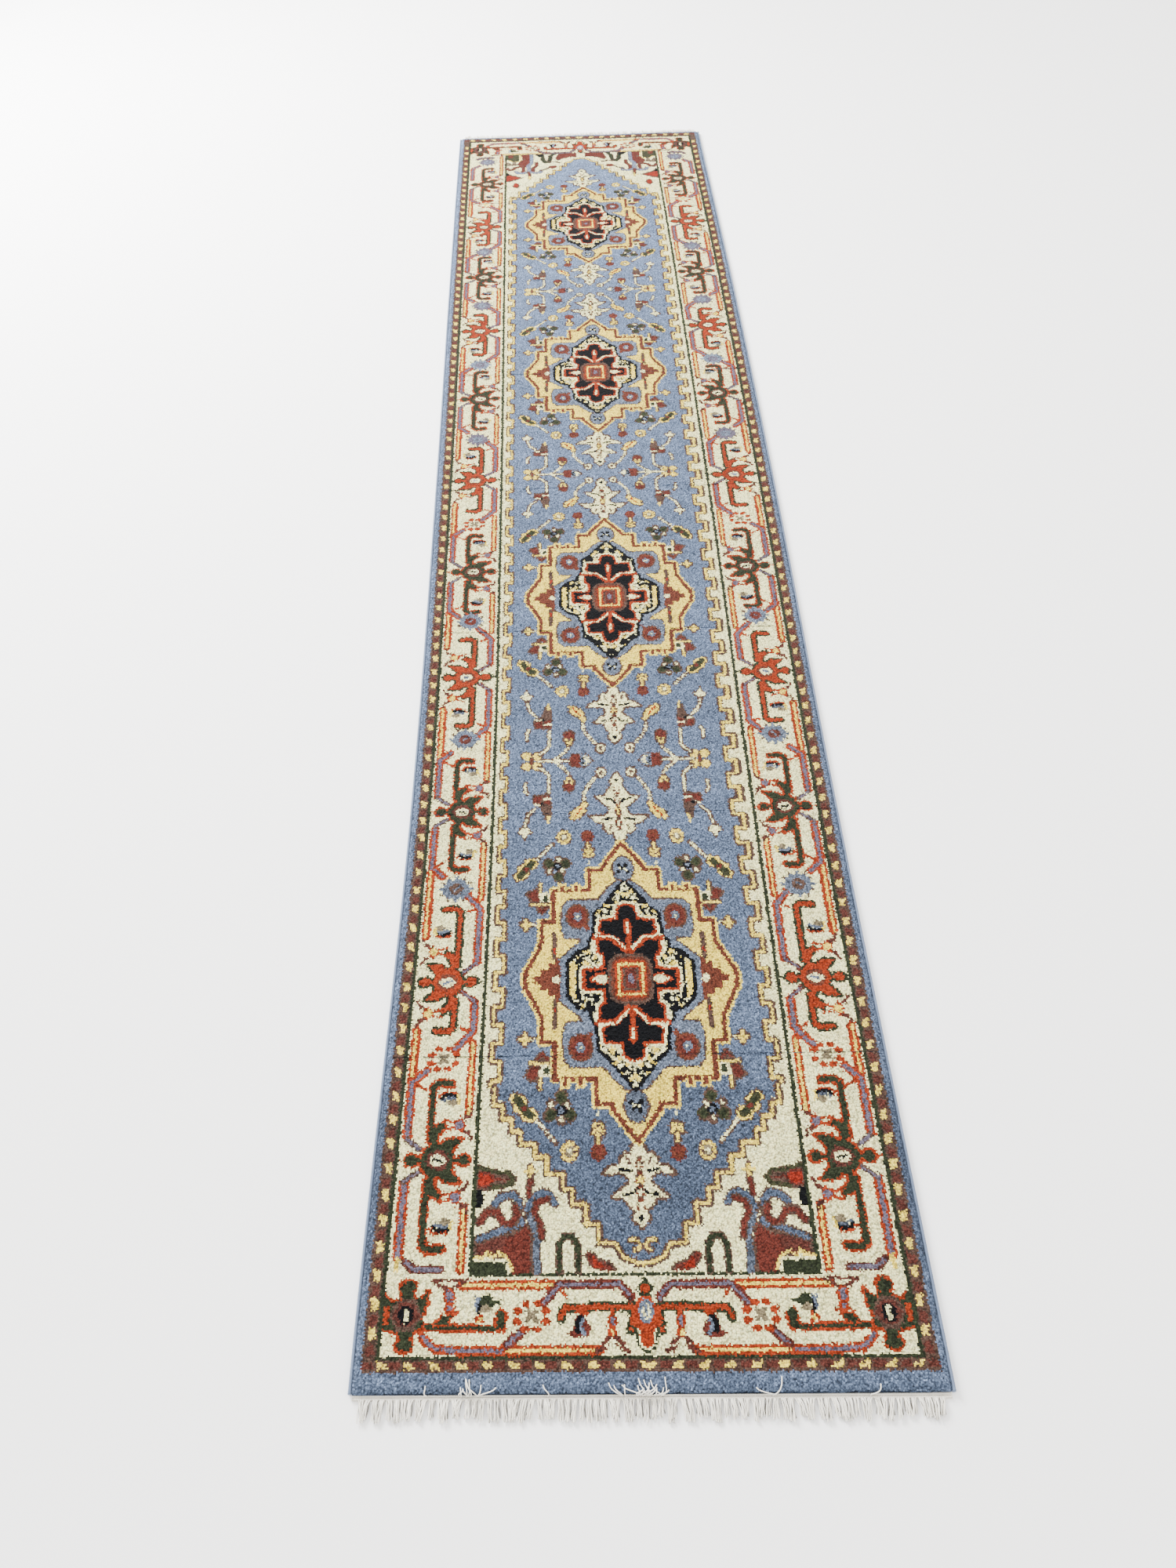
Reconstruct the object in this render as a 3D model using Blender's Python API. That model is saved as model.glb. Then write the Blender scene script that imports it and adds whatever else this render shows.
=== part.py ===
"""Hand-knotted runner rug, as it is made on the loom.

A woven cotton ground carries wool pile, tied in design areas: a plain band, a guard
stripe, a main border, a stepped inner edge, corner spandrels, the field and four
medallions. Each long side is finished with an overcast selvedge over a cotton core.
Each end is finished with a flat-woven web, two twined rows and a tasselled fringe.

The rug lies flat and folds across the middle. Each fringe hinges on its web.
Metres, +Z up, X across the rug, Y along it. The origin is under the centre of the rug.
"""
import math

import bmesh
import bpy
from mathutils import Vector
from mathutils.geometry import delaunay_2d_cdt

# ---- driving dimensions, metres ----
RUG_WIDTH = 0.762          # over both selvedges
PILE_LENGTH = 3.660        # from the first row of knots to the last
GROUND_THICKNESS = 0.0035  # warps and wefts
PILE_HEIGHT = 0.0075       # wool above the ground

SELVEDGE_WIDTH = 0.0055
SELVEDGE_HEIGHT = 0.0085
SELVEDGE_WRAP = 0.0012     # overcast wool round the core

BAND_SIDE = 0.0105
BAND_END = 0.0254
GUARD_SIDE = 0.0222
GUARD_END = 0.0143
BORDER_SIDE = 0.1143
BORDER_END = 0.1048
INNER_EDGE = 0.0286

MEDALLION_MARGIN = 0.0269  # from a medallion's widest point to the inner edge
# middle of each medallion from the near end of the pile, and its length, in pile lengths
MEDALLIONS = ((0.1601, 0.1448), (0.4008, 0.1372), (0.6254, 0.1361), (0.8363, 0.1240))
# lobed outline of a quarter medallion, in half widths and half lengths
MEDALLION_LOBE = ((0.28, 0.80), (0.36, 0.80), (0.36, 0.62), (0.69, 0.62), (0.69, 0.40))

SPANDREL_STEPS = 9
SPANDREL_NEAR = (0.262, 0.008)   # length along the side, depth at the middle
SPANDREL_FAR = (0.270, 0.042)

WEB_LENGTH = 0.0070
WEB_THICKNESS = 0.0018
TWINE_WIDTH = 0.0026
TWINE_HEIGHT = 0.0022
TWINE_SETBACK = 0.0006     # from the pile to the first row, and from the last row to the web's edge
FRINGE_LENGTH = 0.0270
FRINGE_THICKNESS = 0.0022
FRINGE_KNOT_ROW = 0.0040   # where the tassels are knotted to each other
TASSEL_PITCH = 0.0090
TASSEL_SPACE = 0.0012      # between tassels
FRINGE_INSET = 0.0080      # corner without tassels

# how the rug lies: how far each edge wanders, at equal steps from the near to the far end
LEFT_EDGE_LAY = (-0.003, 0.014, 0.009, -0.002, -0.010)
RIGHT_EDGE_LAY = (-0.003, -0.003, 0.005, 0.004, -0.006)

GAP = 0.0003               # clearance between touching pieces
STATION = 0.183            # spacing along the rug of the points that follow the lay
STATION_MARGIN = 0.002     # no station is closer than this to a corner
CORD_SIDES = 8             # sides of a round cord
MERGE = 0.000001           # corners closer than this are one

# ---- sizes that follow ----
HALF_WIDTH = RUG_WIDTH / 2
HALF_LENGTH = PILE_LENGTH / 2
PILE_BASE = GROUND_THICKNESS + GAP
PILE_TOP = GROUND_THICKNESS + PILE_HEIGHT
FOLD_HEIGHT = PILE_TOP + GAP
FRINGE_HINGE_HEIGHT = WEB_THICKNESS + TWINE_HEIGHT + 2 * GAP
WEB_EDGE = HALF_LENGTH + WEB_LENGTH

# inset of each frame of the design: (from the side, from the end)
FRAMES = [(SELVEDGE_WIDTH, 0.0)]
for side_width, end_width in ((BAND_SIDE, BAND_END), (GUARD_SIDE, GUARD_END), (BORDER_SIDE, BORDER_END)):
    FRAMES.append((FRAMES[-1][0] + side_width, FRAMES[-1][1] + end_width))
FIELD_SIDE = FRAMES[3][0]
FIELD_END = FRAMES[3][1]
FIELD_HALF = HALF_WIDTH - FIELD_SIDE - INNER_EDGE
MEDALLION_HALF = FIELD_HALF - MEDALLION_MARGIN


# ---- the lay of the rug ----
def wander(offsets, t):
    """Smooth curve through equally spaced offsets, t from 0 to 1."""
    t = min(max(t, 0.0), 1.0) * (len(offsets) - 1)
    i = min(int(t), len(offsets) - 2)
    f = t - i
    p = [offsets[min(max(k, 0), len(offsets) - 1)] for k in (i - 1, i, i + 1, i + 2)]
    a = 2 * p[1]
    b = p[2] - p[0]
    c = 2 * p[0] - 5 * p[1] + 4 * p[2] - p[3]
    d = 3 * p[1] - p[0] - 3 * p[2] + p[3]
    return 0.5 * (a + f * (b + f * (c + f * d)))


def lay(u, v):
    """Where a point of the flat weave, u across and v along, comes to lie on the floor."""
    along = (v + HALF_LENGTH) / PILE_LENGTH
    across = (u + HALF_WIDTH) / RUG_WIDTH
    left = wander(LEFT_EDGE_LAY, along)
    right = wander(RIGHT_EDGE_LAY, along)
    return u + left + (right - left) * across - LAY_CENTRE, v


LAY_CENTRE = 0.5 * (min(LEFT_EDGE_LAY) + max(RIGHT_EDGE_LAY))


# ---- outlines ----
def inset(points, distance):
    """Move every side of a counter-clockwise outline inwards."""
    moved = []
    count = len(points)
    for i in range(count):
        a, b, c = (Vector(points[k % count]) for k in (i - 1, i, i + 1))
        n1 = Vector((-(b - a).y, (b - a).x)).normalized()
        n2 = Vector((-(c - b).y, (c - b).x)).normalized()
        moved.append(tuple(b + (n1 + n2) * distance / (1.0 + n1.dot(n2))))
    return moved


def stations(low, high):
    """Places along the rug, at the stations, that lie well between low and high."""
    first = math.ceil((low + STATION_MARGIN + HALF_LENGTH) / STATION)
    last = math.floor((high - STATION_MARGIN + HALF_LENGTH) / STATION)
    return [k * STATION - HALF_LENGTH for k in range(first, last + 1)]


def with_stations(points):
    """Outline with a point added where each side crosses a station."""
    out = []
    for i, (ua, va) in enumerate(points):
        ub, vb = points[(i + 1) % len(points)]
        out.append((ua, va))
        crossed = stations(*sorted((va, vb)))
        for v in crossed if va < vb else reversed(crossed):
            out.append((ua + (ub - ua) * (v - va) / (vb - va), v))
    return out


def box_outline(u0, u1, v0, v1):
    return [(u0, v0), (u1, v0), (u1, v1), (u0, v1)]


def mirrored(points, side, end):
    """Outline drawn for the right side and the near end, on side 1 or -1 and end 1 or -1."""
    turned = [(side * u, end * v) for u, v in points]
    if side * end < 0:
        turned.reverse()
    return turned


def staircase(length, depth):
    """Stepped line from the side of the field down to the middle, right side, near end."""
    low = -HALF_LENGTH + FIELD_END + depth
    rise = (length - depth) / SPANDREL_STEPS
    run = FIELD_HALF / SPANDREL_STEPS
    points = []
    for k in range(SPANDREL_STEPS, 0, -1):
        points.append((k * run, low + k * rise))
        points.append((k * run, low + (k - 1) * rise))
    points.append((0.0, low))
    return points


def medallion_places():
    """Middle and length of each medallion along the weave, from near to far."""
    return [(centre * PILE_LENGTH - HALF_LENGTH, length * PILE_LENGTH) for centre, length in MEDALLIONS]


def medallion_side(centre, length):
    """Right side of a medallion from its near point to its far point."""
    w = MEDALLION_HALF
    h = length / 2
    lower = [(x * w, centre - y * h) for x, y in MEDALLION_LOBE]
    upper = [(x * w, centre + y * h) for x, y in reversed(MEDALLION_LOBE)]
    return [(0.0, centre - h)] + lower + [(w, centre)] + upper + [(0.0, centre + h)]


# ---- solids ----
def clear_scene():
    for thing in list(bpy.data.objects):
        bpy.data.objects.remove(thing, do_unlink=True)


def wool(name, colour, roughness=0.92):
    material = bpy.data.materials.new(name)
    material.use_nodes = True
    shader = material.node_tree.nodes["Principled BSDF"]
    shader.inputs["Base Color"].default_value = (*colour, 1.0)
    shader.inputs["Roughness"].default_value = roughness
    shader.inputs["Metallic"].default_value = 0.0
    return material


def axis_empty(name, place, parent=None):
    empty = bpy.data.objects.new(name, None)
    empty.location = Vector(place) - (parent_place(parent) if parent else Vector())
    empty.parent = parent
    bpy.context.scene.collection.objects.link(empty)
    return empty


def parent_place(empty):
    place = Vector(empty.location)
    while empty.parent:
        empty = empty.parent
        place += empty.location
    return place


def finish(mesh, name, material, parent):
    """Link a bmesh as a named object whose origin is on its parent's axis."""
    origin = parent_place(parent)
    bmesh.ops.translate(mesh, verts=mesh.verts, vec=-origin)
    bmesh.ops.recalc_face_normals(mesh, faces=mesh.faces)
    data = bpy.data.meshes.new(name)
    mesh.to_mesh(data)
    mesh.free()
    data.materials.append(material)
    thing = bpy.data.objects.new(name, data)
    thing.parent = parent
    bpy.context.scene.collection.objects.link(thing)
    return thing


def slab(name, outline, low, high, material, parent):
    """Closed plate over an outline of the flat weave, clear of its neighbours."""
    edge = [Vector(lay(u, v)) for u, v in with_stations(inset(outline, GAP / 2))]
    count = len(edge)
    corners, _, triangles, _, _, _ = delaunay_2d_cdt(edge, [], [range(count)], 1, MERGE)
    assert len(corners) == count
    mesh = bmesh.new()
    lower, upper = [[mesh.verts.new((x, y, z)) for x, y in corners] for z in (low, high)]
    for a, b, c in triangles:
        mesh.faces.new((lower[c], lower[b], lower[a]))
        mesh.faces.new((upper[a], upper[b], upper[c]))
    for i in range(count):
        k = (i + 1) % count
        mesh.faces.new((lower[i], lower[k], upper[k], upper[i]))
    bmesh.ops.triangulate(mesh, faces=[face for face in mesh.faces if len(face.verts) > 3])
    return finish(mesh, name, material, parent)


def cord_section(width, height):
    """Points round a cord's oval section, centred on its axis, this wide and high over its flats."""
    turn = 2 * math.pi / CORD_SIDES
    flat = math.cos(turn / 2)
    return [(width / 2 * math.cos((k + 0.5) * turn) / flat, height / 2 * math.sin((k + 0.5) * turn) / flat)
            for k in range(CORD_SIDES)]


def cord(name, points, sections, material, parent, across):
    """Cord along points. One section makes it solid, two sections make it a wrap round a core."""
    mesh = bmesh.new()
    tubes = []
    for section in sections:
        tube = []
        for u, v, z in points:
            ring = []
            for side, up in section:
                du, dv = (side, 0.0) if across else (0.0, side)
                ring.append(mesh.verts.new((*lay(u + du, v + dv), z + up)))
            tube.append(ring)
        tubes.append(tube)
    for tube in tubes:
        for a, b in zip(tube, tube[1:]):
            for i in range(CORD_SIDES):
                k = (i + 1) % CORD_SIDES
                mesh.faces.new((a[i], a[k], b[k], b[i]))
    for end in (0, -1):
        if len(tubes) == 1:
            mesh.faces.new(tubes[0][end])
        else:
            outer, inner = tubes[0][end], tubes[1][end]
            for i in range(CORD_SIDES):
                k = (i + 1) % CORD_SIDES
                mesh.faces.new((outer[i], outer[k], inner[k], inner[i]))
    bmesh.ops.triangulate(mesh, faces=mesh.faces)
    return finish(mesh, name, material, parent)


# ---- sub-parts ----
def make_ground(half, end, parent, cotton):
    inner = HALF_WIDTH - SELVEDGE_WIDTH
    outline = mirrored(box_outline(-inner, inner, -HALF_LENGTH, 0.0), 1, end)
    slab("foundation_" + half, outline, 0.0, GROUND_THICKNESS, cotton, parent)


def make_selvedges(half, end, parent, blue, cotton):
    """Overcast wool wrap round a cotton core, along each side."""
    width = SELVEDGE_WIDTH - GAP
    wrap_outer = cord_section(width, SELVEDGE_HEIGHT)
    width -= 2 * SELVEDGE_WRAP
    height = SELVEDGE_HEIGHT - 2 * SELVEDGE_WRAP
    wrap_inner = cord_section(width, height)
    core_section = cord_section(width - 2 * GAP, height - 2 * GAP)
    v0, v1 = sorted((-end * HALF_LENGTH, -end * GAP / 2))
    places = [v0] + stations(v0, v1) + [v1]
    for side_name, side in (("left", -1), ("right", 1)):
        u = side * (HALF_WIDTH - SELVEDGE_WIDTH / 2)
        points = [(u, v, SELVEDGE_HEIGHT / 2) for v in places]
        cord("selvedge_wrap_%s_%s" % (side_name, half), points, (wrap_outer, wrap_inner), blue, parent, True)
        cord("selvedge_core_%s_%s" % (side_name, half), points, (core_section,), cotton, parent, True)


def make_frame_stripes(half, end, parent, wools):
    """Plain band, guard stripe and main border: one piece on each side and one across the end."""
    for k, (stripe, material) in enumerate(wools):
        side_in, end_in = FRAMES[k]
        side_out, end_out = FRAMES[k + 1]
        reach = HALF_WIDTH - side_in
        across = box_outline(-reach, reach, -HALF_LENGTH + end_in, -HALF_LENGTH + end_out)
        slab("%s_end_%s" % (stripe, half), mirrored(across, 1, end), PILE_BASE, PILE_TOP,
             material, parent)
        for side_name, side in (("left", -1), ("right", 1)):
            along = box_outline(HALF_WIDTH - side_out, reach, -HALF_LENGTH + end_out, 0.0)
            slab("%s_%s_%s" % (stripe, side_name, half), mirrored(along, side, end), PILE_BASE, PILE_TOP,
                 material, parent)


def make_field(half, end, parent, spandrel, blue, ivory):
    """Stepped inner edges, corner spandrels and the field, each in a left and a right piece."""
    length, depth = spandrel
    start = -HALF_LENGTH + FIELD_END
    field_side = HALF_WIDTH - FIELD_SIDE
    steps = staircase(length, depth)
    centres = sorted((end * v, size) for v, size in medallion_places() if end * v < 0)
    corner = [(0.0, start), (field_side, start), (field_side, start + length)] + steps
    strip = box_outline(FIELD_HALF, field_side, start + length, 0.0)
    middle = []
    for centre, size in centres:
        middle += medallion_side(centre, size)
    ground = list(reversed(steps)) + [(FIELD_HALF, 0.0), (0.0, 0.0)] + list(reversed(middle))
    for side_name, side in (("left", -1), ("right", 1)):
        slab("spandrel_%s_%s" % (side_name, half), mirrored(corner, side, end), PILE_BASE, PILE_TOP,
             ivory, parent)
        slab("inner_edge_%s_%s" % (side_name, half), mirrored(strip, side, end), PILE_BASE, PILE_TOP,
             ivory, parent)
        slab("field_%s_%s" % (side_name, half), mirrored(ground, side, end), PILE_BASE, PILE_TOP,
             blue, parent)


def make_medallions(parents, gold):
    for number, (v, size) in enumerate(medallion_places(), 1):
        right = medallion_side(v, size)
        left = [(-x, y) for x, y in reversed(right[1:-1])]
        slab("medallion_%d" % number, right + left, PILE_BASE, PILE_TOP, gold, parents[v > 0])


def make_end_finish(half, end, parent, fringe_parent, cotton):
    """Flat-woven web, two twined rows on it, and the tasselled fringe beyond it."""
    reach = HALF_WIDTH - SELVEDGE_WIDTH
    web = box_outline(-reach, reach, -WEB_EDGE, -HALF_LENGTH)
    slab("end_web_" + half, mirrored(web, 1, end), 0.0, WEB_THICKNESS, cotton, parent)

    section = cord_section(TWINE_WIDTH, TWINE_HEIGHT)
    height = WEB_THICKNESS + GAP + TWINE_HEIGHT / 2
    first = HALF_LENGTH + TWINE_SETBACK + TWINE_WIDTH / 2
    last = WEB_EDGE - TWINE_SETBACK - TWINE_WIDTH / 2
    for row_name, v in (("inner", first), ("outer", last)):
        points = [(u, -end * v, height) for u in (GAP - reach, reach - GAP)]
        cord("twined_row_%s_%s" % (row_name, half), points, (section,), cotton, parent, False)

    fringe_half = reach - FRINGE_INSET
    tassels = int(2 * fringe_half / TASSEL_PITCH)
    pitch = 2 * fringe_half / tassels
    knots = WEB_EDGE + FRINGE_KNOT_ROW
    tips = WEB_EDGE + FRINGE_LENGTH
    comb = []
    for k in range(tassels):
        left = -fringe_half + k * pitch
        right = left + pitch - TASSEL_SPACE
        comb += [(left, -knots), (left, -tips), (right, -tips), (right, -knots)]
    comb = comb[1:-1] + [(right, -WEB_EDGE), (-fringe_half, -WEB_EDGE)]
    slab("fringe_" + half, mirrored(comb, 1, end), 0.0, FRINGE_THICKNESS, cotton, fringe_parent)


def build():
    clear_scene()
    blue = wool("blue_wool", (0.135, 0.225, 0.420))
    guard = wool("guard_wool", (0.300, 0.075, 0.040))
    ivory = wool("ivory_wool", (0.780, 0.690, 0.470))
    gold = wool("gold_wool", (0.740, 0.540, 0.200))
    cotton = wool("cotton", (0.820, 0.790, 0.700), 0.85)

    near = axis_empty("near_half", (0.0, 0.0, 0.0))
    far = axis_empty("fold_axis", (0.0, 0.0, FOLD_HEIGHT), near)
    near_fringe = axis_empty("fringe_axis_near", (0.0, -WEB_EDGE, FRINGE_HINGE_HEIGHT), near)
    far_fringe = axis_empty("fringe_axis_far", (0.0, WEB_EDGE, FRINGE_HINGE_HEIGHT), far)

    wools = (("band", blue), ("guard_stripe", guard), ("border", ivory))
    for half, end, parent, fringe_parent, spandrel in (
            ("near", 1, near, near_fringe, SPANDREL_NEAR),
            ("far", -1, far, far_fringe, SPANDREL_FAR)):
        make_ground(half, end, parent, cotton)
        make_selvedges(half, end, parent, blue, cotton)
        make_frame_stripes(half, end, parent, wools)
        make_field(half, end, parent, spandrel, blue, ivory)
        make_end_finish(half, end, parent, fringe_parent, cotton)
    make_medallions((near, far), gold)


build()
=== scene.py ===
"""The runner rug as it looks: knotted wool pile on a cotton ground, with overcast sides,
a flat web, two twined rows and a tasselled fringe at each end, lying on a pale floor.

The pile's design is drawn on a loom: an array with about one cell to a tuft, half the rug
wide, mirrored for the other half. Columns count knots from the middle to the side, rows count
knots from the near end. Metres elsewhere, X across the rug, Y along it, Z up.
"""
import math

import bpy
import numpy as np
from mathutils import Matrix, Vector


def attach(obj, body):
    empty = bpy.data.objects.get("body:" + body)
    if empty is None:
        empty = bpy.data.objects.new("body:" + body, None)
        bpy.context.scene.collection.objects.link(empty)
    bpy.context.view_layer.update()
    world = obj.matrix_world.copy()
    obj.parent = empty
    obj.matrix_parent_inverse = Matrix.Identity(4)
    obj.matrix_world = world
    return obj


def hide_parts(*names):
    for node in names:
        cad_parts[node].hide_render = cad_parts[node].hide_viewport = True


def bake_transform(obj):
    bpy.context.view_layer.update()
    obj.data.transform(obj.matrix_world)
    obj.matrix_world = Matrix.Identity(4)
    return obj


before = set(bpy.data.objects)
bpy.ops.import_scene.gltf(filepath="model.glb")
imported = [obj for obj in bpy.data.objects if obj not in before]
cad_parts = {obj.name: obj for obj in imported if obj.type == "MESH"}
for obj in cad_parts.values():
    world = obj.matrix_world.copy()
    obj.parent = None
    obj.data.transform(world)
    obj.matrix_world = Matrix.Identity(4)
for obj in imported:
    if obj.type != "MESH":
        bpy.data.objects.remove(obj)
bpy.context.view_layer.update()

# ---- sizes of the rug, as in the frame ----
HALF_WIDTH = 0.381
HALF_LENGTH = 1.830
GROUND = 0.0035              # top of the cotton ground
PILE_BASE = 0.0038
PILE_TOP = 0.0110
SELVEDGE_WIDTH = 0.0055
SELVEDGE_HEIGHT = 0.0085
WEB_EDGE = 1.837             # outer edge of the flat web
WEB_THICKNESS = 0.0018
TWINE_WIDTH = 0.0026         # of one twined row
TWINE_SETBACK = 0.0006
FRINGE_LENGTH = 0.0270
FRINGE_INSET = 0.0080
FRINGE_LOW = 0.0010          # height of the strands that lie underneath
FRINGE_HIGH = 0.0042         # height of those on top
TASSELS = 82                 # at each end
STRANDS = 10                 # to a tassel
STRAND_THICKNESS = 0.0015
STRAY_ROOT = 0.003           # how far outside the pile a thrown-back strand starts
# tassel, counted from the left of the near end, and how many of its strands are thrown back
STRAY_TASSELS = ((9, 1), (14, 2), (15, 4), (16, 3), (26, 1), (37, 3), (39, 4), (40, 5), (41, 4),
                 (42, 3), (58, 2), (71, 1))
HALVES = (("near", 1), ("far", -1))
# how far the long edges lie out of line, at equal steps from the near end to the far end
LEFT_EDGE_LAY = (-0.003, 0.014, 0.009, -0.002, -0.010)
RIGHT_EDGE_LAY = (-0.003, -0.003, 0.005, 0.004, -0.006)
LAY_CENTRE = -0.0025

PILE_HALF = HALF_WIDTH - SELVEDGE_WIDTH
KNOTS_ACROSS = 240
KNOT_WIDTH = 2 * HALF_WIDTH / KNOTS_ACROSS
KNOT_ROWS = 1152
KNOT_LENGTH = 2 * HALF_LENGTH / KNOT_ROWS
PANELS = 8                   # lengths that the pile is shown in
SHEETS = 4                   # lengths that the ground and the selvedges are shown in
SHEET_LENGTH = HALF_LENGTH / 2
TUFTS_ACROSS = 354
TUFTS_ALONG = 1728
FLOOR_HALF = 8


# ---- where the cloth lies ----
def wander(offsets, t):
    """Smooth curve through equally spaced offsets, t from 0 to 1."""
    t = np.clip(t, 0.0, 1.0) * (len(offsets) - 1)
    i = np.minimum(t.astype(int), len(offsets) - 2)
    f = t - i
    padded = np.array([offsets[0], *offsets, offsets[-1]], float)
    p0, p1, p2, p3 = (padded[i + k] for k in range(4))
    cubic = 3 * p1 - p0 - 3 * p2 + p3
    return 0.5 * (2 * p1 + f * (p2 - p0 + f * (2 * p0 - 5 * p1 + 4 * p2 - p3 + f * cubic)))


def lay(u, v):
    """Floor place, across, of points u across and v along the weave."""
    along = (np.asarray(v, float) + HALF_LENGTH) / (2 * HALF_LENGTH)
    share = (np.asarray(u, float) + HALF_WIDTH) / (2 * HALF_WIDTH)
    left = wander(LEFT_EDGE_LAY, along)
    right = wander(RIGHT_EDGE_LAY, along)
    return u + left + (right - left) * share - LAY_CENTRE


# ---- the loom ----
CELLS = 1.5                  # cells to a design column or row
LOOM_ROWS = int(KNOT_ROWS * CELLS)
LOOM_COLUMNS = int(KNOTS_ACROSS / 2 * CELLS)
YARNS = {
    "indigo": (88, 102, 126),
    "ivory": (255, 246, 178),
    "straw": (246, 214, 86),
    "orange": (146, 50, 21),
    "scarlet": (134, 38, 22),
    "brick": (92, 41, 33),
    "maroon": (85, 45, 38),
    "rust": (98, 50, 36),
    "walnut": (80, 60, 51),
    "green": (41, 47, 31),
    "moss": (55, 56, 37),
    "ink": (4, 5, 9),
    "lilac": (98, 91, 107),
    "slate": (94, 104, 121),
    "stone": (122, 110, 85),
}
YARN_NAMES = list(YARNS)
loom = np.zeros((LOOM_ROWS, LOOM_COLUMNS), np.uint8)
COLUMN_AT = (np.arange(LOOM_COLUMNS) + 0.5) / CELLS
ROW_AT = (np.arange(LOOM_ROWS) + 0.5) / CELLS


class Pen:
    """Draws on the loom from its own origin, turned or stretched by across and along."""

    def __init__(self, column=0.0, row=0.0, across=1.0, along=1.0, one_sided=False):
        self.column = column
        self.row = row
        self.across = across
        self.along = along
        self.one_sided = one_sided  # draws nothing behind its own row

    def tie(self, yarn, points, reach, inside):
        """Ties a yarn in the cells near points that pass the test inside(columns, rows)."""
        spread = np.array(points, float)
        low = np.floor((spread.min(0) - reach) * CELLS).astype(int)
        high = np.ceil((spread.max(0) + reach) * CELLS).astype(int) + 1
        c0, r0 = np.maximum(low, 0)
        c1, r1 = np.minimum(high, (LOOM_COLUMNS, LOOM_ROWS))
        if c0 >= c1 or r0 >= r1:
            return
        columns, rows = np.meshgrid(COLUMN_AT[c0:c1], ROW_AT[r0:r1])
        tied = inside(columns, rows)
        if self.one_sided:
            tied &= (rows - self.row) * self.along >= 0
        loom[r0:r1, c0:c1][tied] = YARN_NAMES.index(yarn)

    def at(self, points):
        """Loom places of points that are given from the pen's origin."""
        return [(self.column + self.across * c, self.row + self.along * r) for c, r in points]

    def moved(self, column, row, across=1.0, along=1.0):
        """Pen with its origin at a point, turned or stretched further."""
        place = self.at([(column, row)])[0]
        return Pen(*place, self.across * across, self.along * along)

    def area(self, yarn, *points):
        """Fills a closed outline."""
        edge = self.at(points)

        def inside(columns, rows):
            odd = np.zeros(columns.shape, bool)
            for (ca, ra), (cb, rb) in zip(edge, edge[1:] + edge[:1]):
                if ra != rb:
                    crossing = ca + (rows - ra) * (cb - ca) / (rb - ra)
                    odd ^= ((ra > rows) != (rb > rows)) & (columns < crossing)
            return odd

        self.tie(yarn, edge, 0.0, inside)

    def block(self, yarn, c0, c1, r0, r1):
        """Fills a rectangle."""
        self.area(yarn, (c0, r0), (c1, r0), (c1, r1), (c0, r1))

    def line(self, yarn, width, *points):
        """Draws a path with round ends, or a dot at a single point."""
        path = self.at(points if len(points) > 1 else points * 2)

        def inside(columns, rows):
            near = np.zeros(columns.shape, bool)
            for (ca, ra), (cb, rb) in zip(path, path[1:]):
                dc, dr = cb - ca, rb - ra
                size = dc * dc + dr * dr or 1.0
                t = np.clip(((columns - ca) * dc + (rows - ra) * dr) / size, 0.0, 1.0)
                near |= np.hypot(columns - ca - t * dc, rows - ra - t * dr) <= width / 2
            return near

        self.tie(yarn, path, width / 2, inside)

    def edged(self, core, width, edge, margin, *points):
        """Draws a path with a margin of another yarn all round it."""
        self.line(edge, width + 2 * margin, *points)
        self.line(core, width, *points)

    def oval(self, yarn, c, r, a, b=None):
        """Fills an oval that reaches a across and b along."""
        (column, row), = self.at([(c, r)])
        wide = a * abs(self.across)
        long = (a if b is None else b) * abs(self.along)

        def inside(columns, rows):
            return ((columns - column) / wide) ** 2 + ((rows - row) / long) ** 2 <= 1.0

        self.tie(yarn, [(column - wide, row - long), (column + wide, row + long)], 0.0, inside)

    def beads(self, yarn, edge, *points):
        """Line of single knots on a dark line."""
        self.line(edge, 2.6, *points)
        path = np.array(points, float)
        steps = np.hypot(*np.diff(path, axis=0).T)
        walked = np.concatenate([[0.0], np.cumsum(steps)])
        for d in np.arange(0.0, walked[-1] + 0.01, 2.3):
            self.oval(yarn, np.interp(d, walked, path[:, 0]), np.interp(d, walked, path[:, 1]), 0.95)


def silhouette(pen, core, edge, margin, *parts):
    """Draws parts as one shape with one edge. A part is a width and points, and no width makes an area."""
    for yarn, grow in ((edge, 2 * margin), (core, 0.0)):
        for width, *points in parts:
            if width:
                pen.line(yarn, width + grow, *points)
            else:
                pen.area(yarn, *points)
                pen.line(yarn, grow, *points, points[0])


# ---- the frame of the design ----
GREEN_PALMETTES = ((94, 1.0), (290, 1.0), (489, 1.0), (688, 1.0), (872, 0.92), (1048, 0.88))
ORANGE_PALMETTES = ((184, 1.0), (393, 1.0), (587, 1.0), (785, 0.98), (962, 0.9))
FAR_END_ROW = 1151.6         # row that the far end border is counted back from
ROSETTES = ((143, "orange", "stone"), (239, "slate", "walnut"), (343, "slate", "maroon"),
            (442, "slate", "brick"), (538, "orange", "stone"), (636, "lilac", "slate"),
            (735, "slate", "lilac"), (825, "lilac", "slate"), (916, "lilac", "slate"),
            (1006, "orange", "straw"), (1095, "lilac", "slate"))


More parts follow.
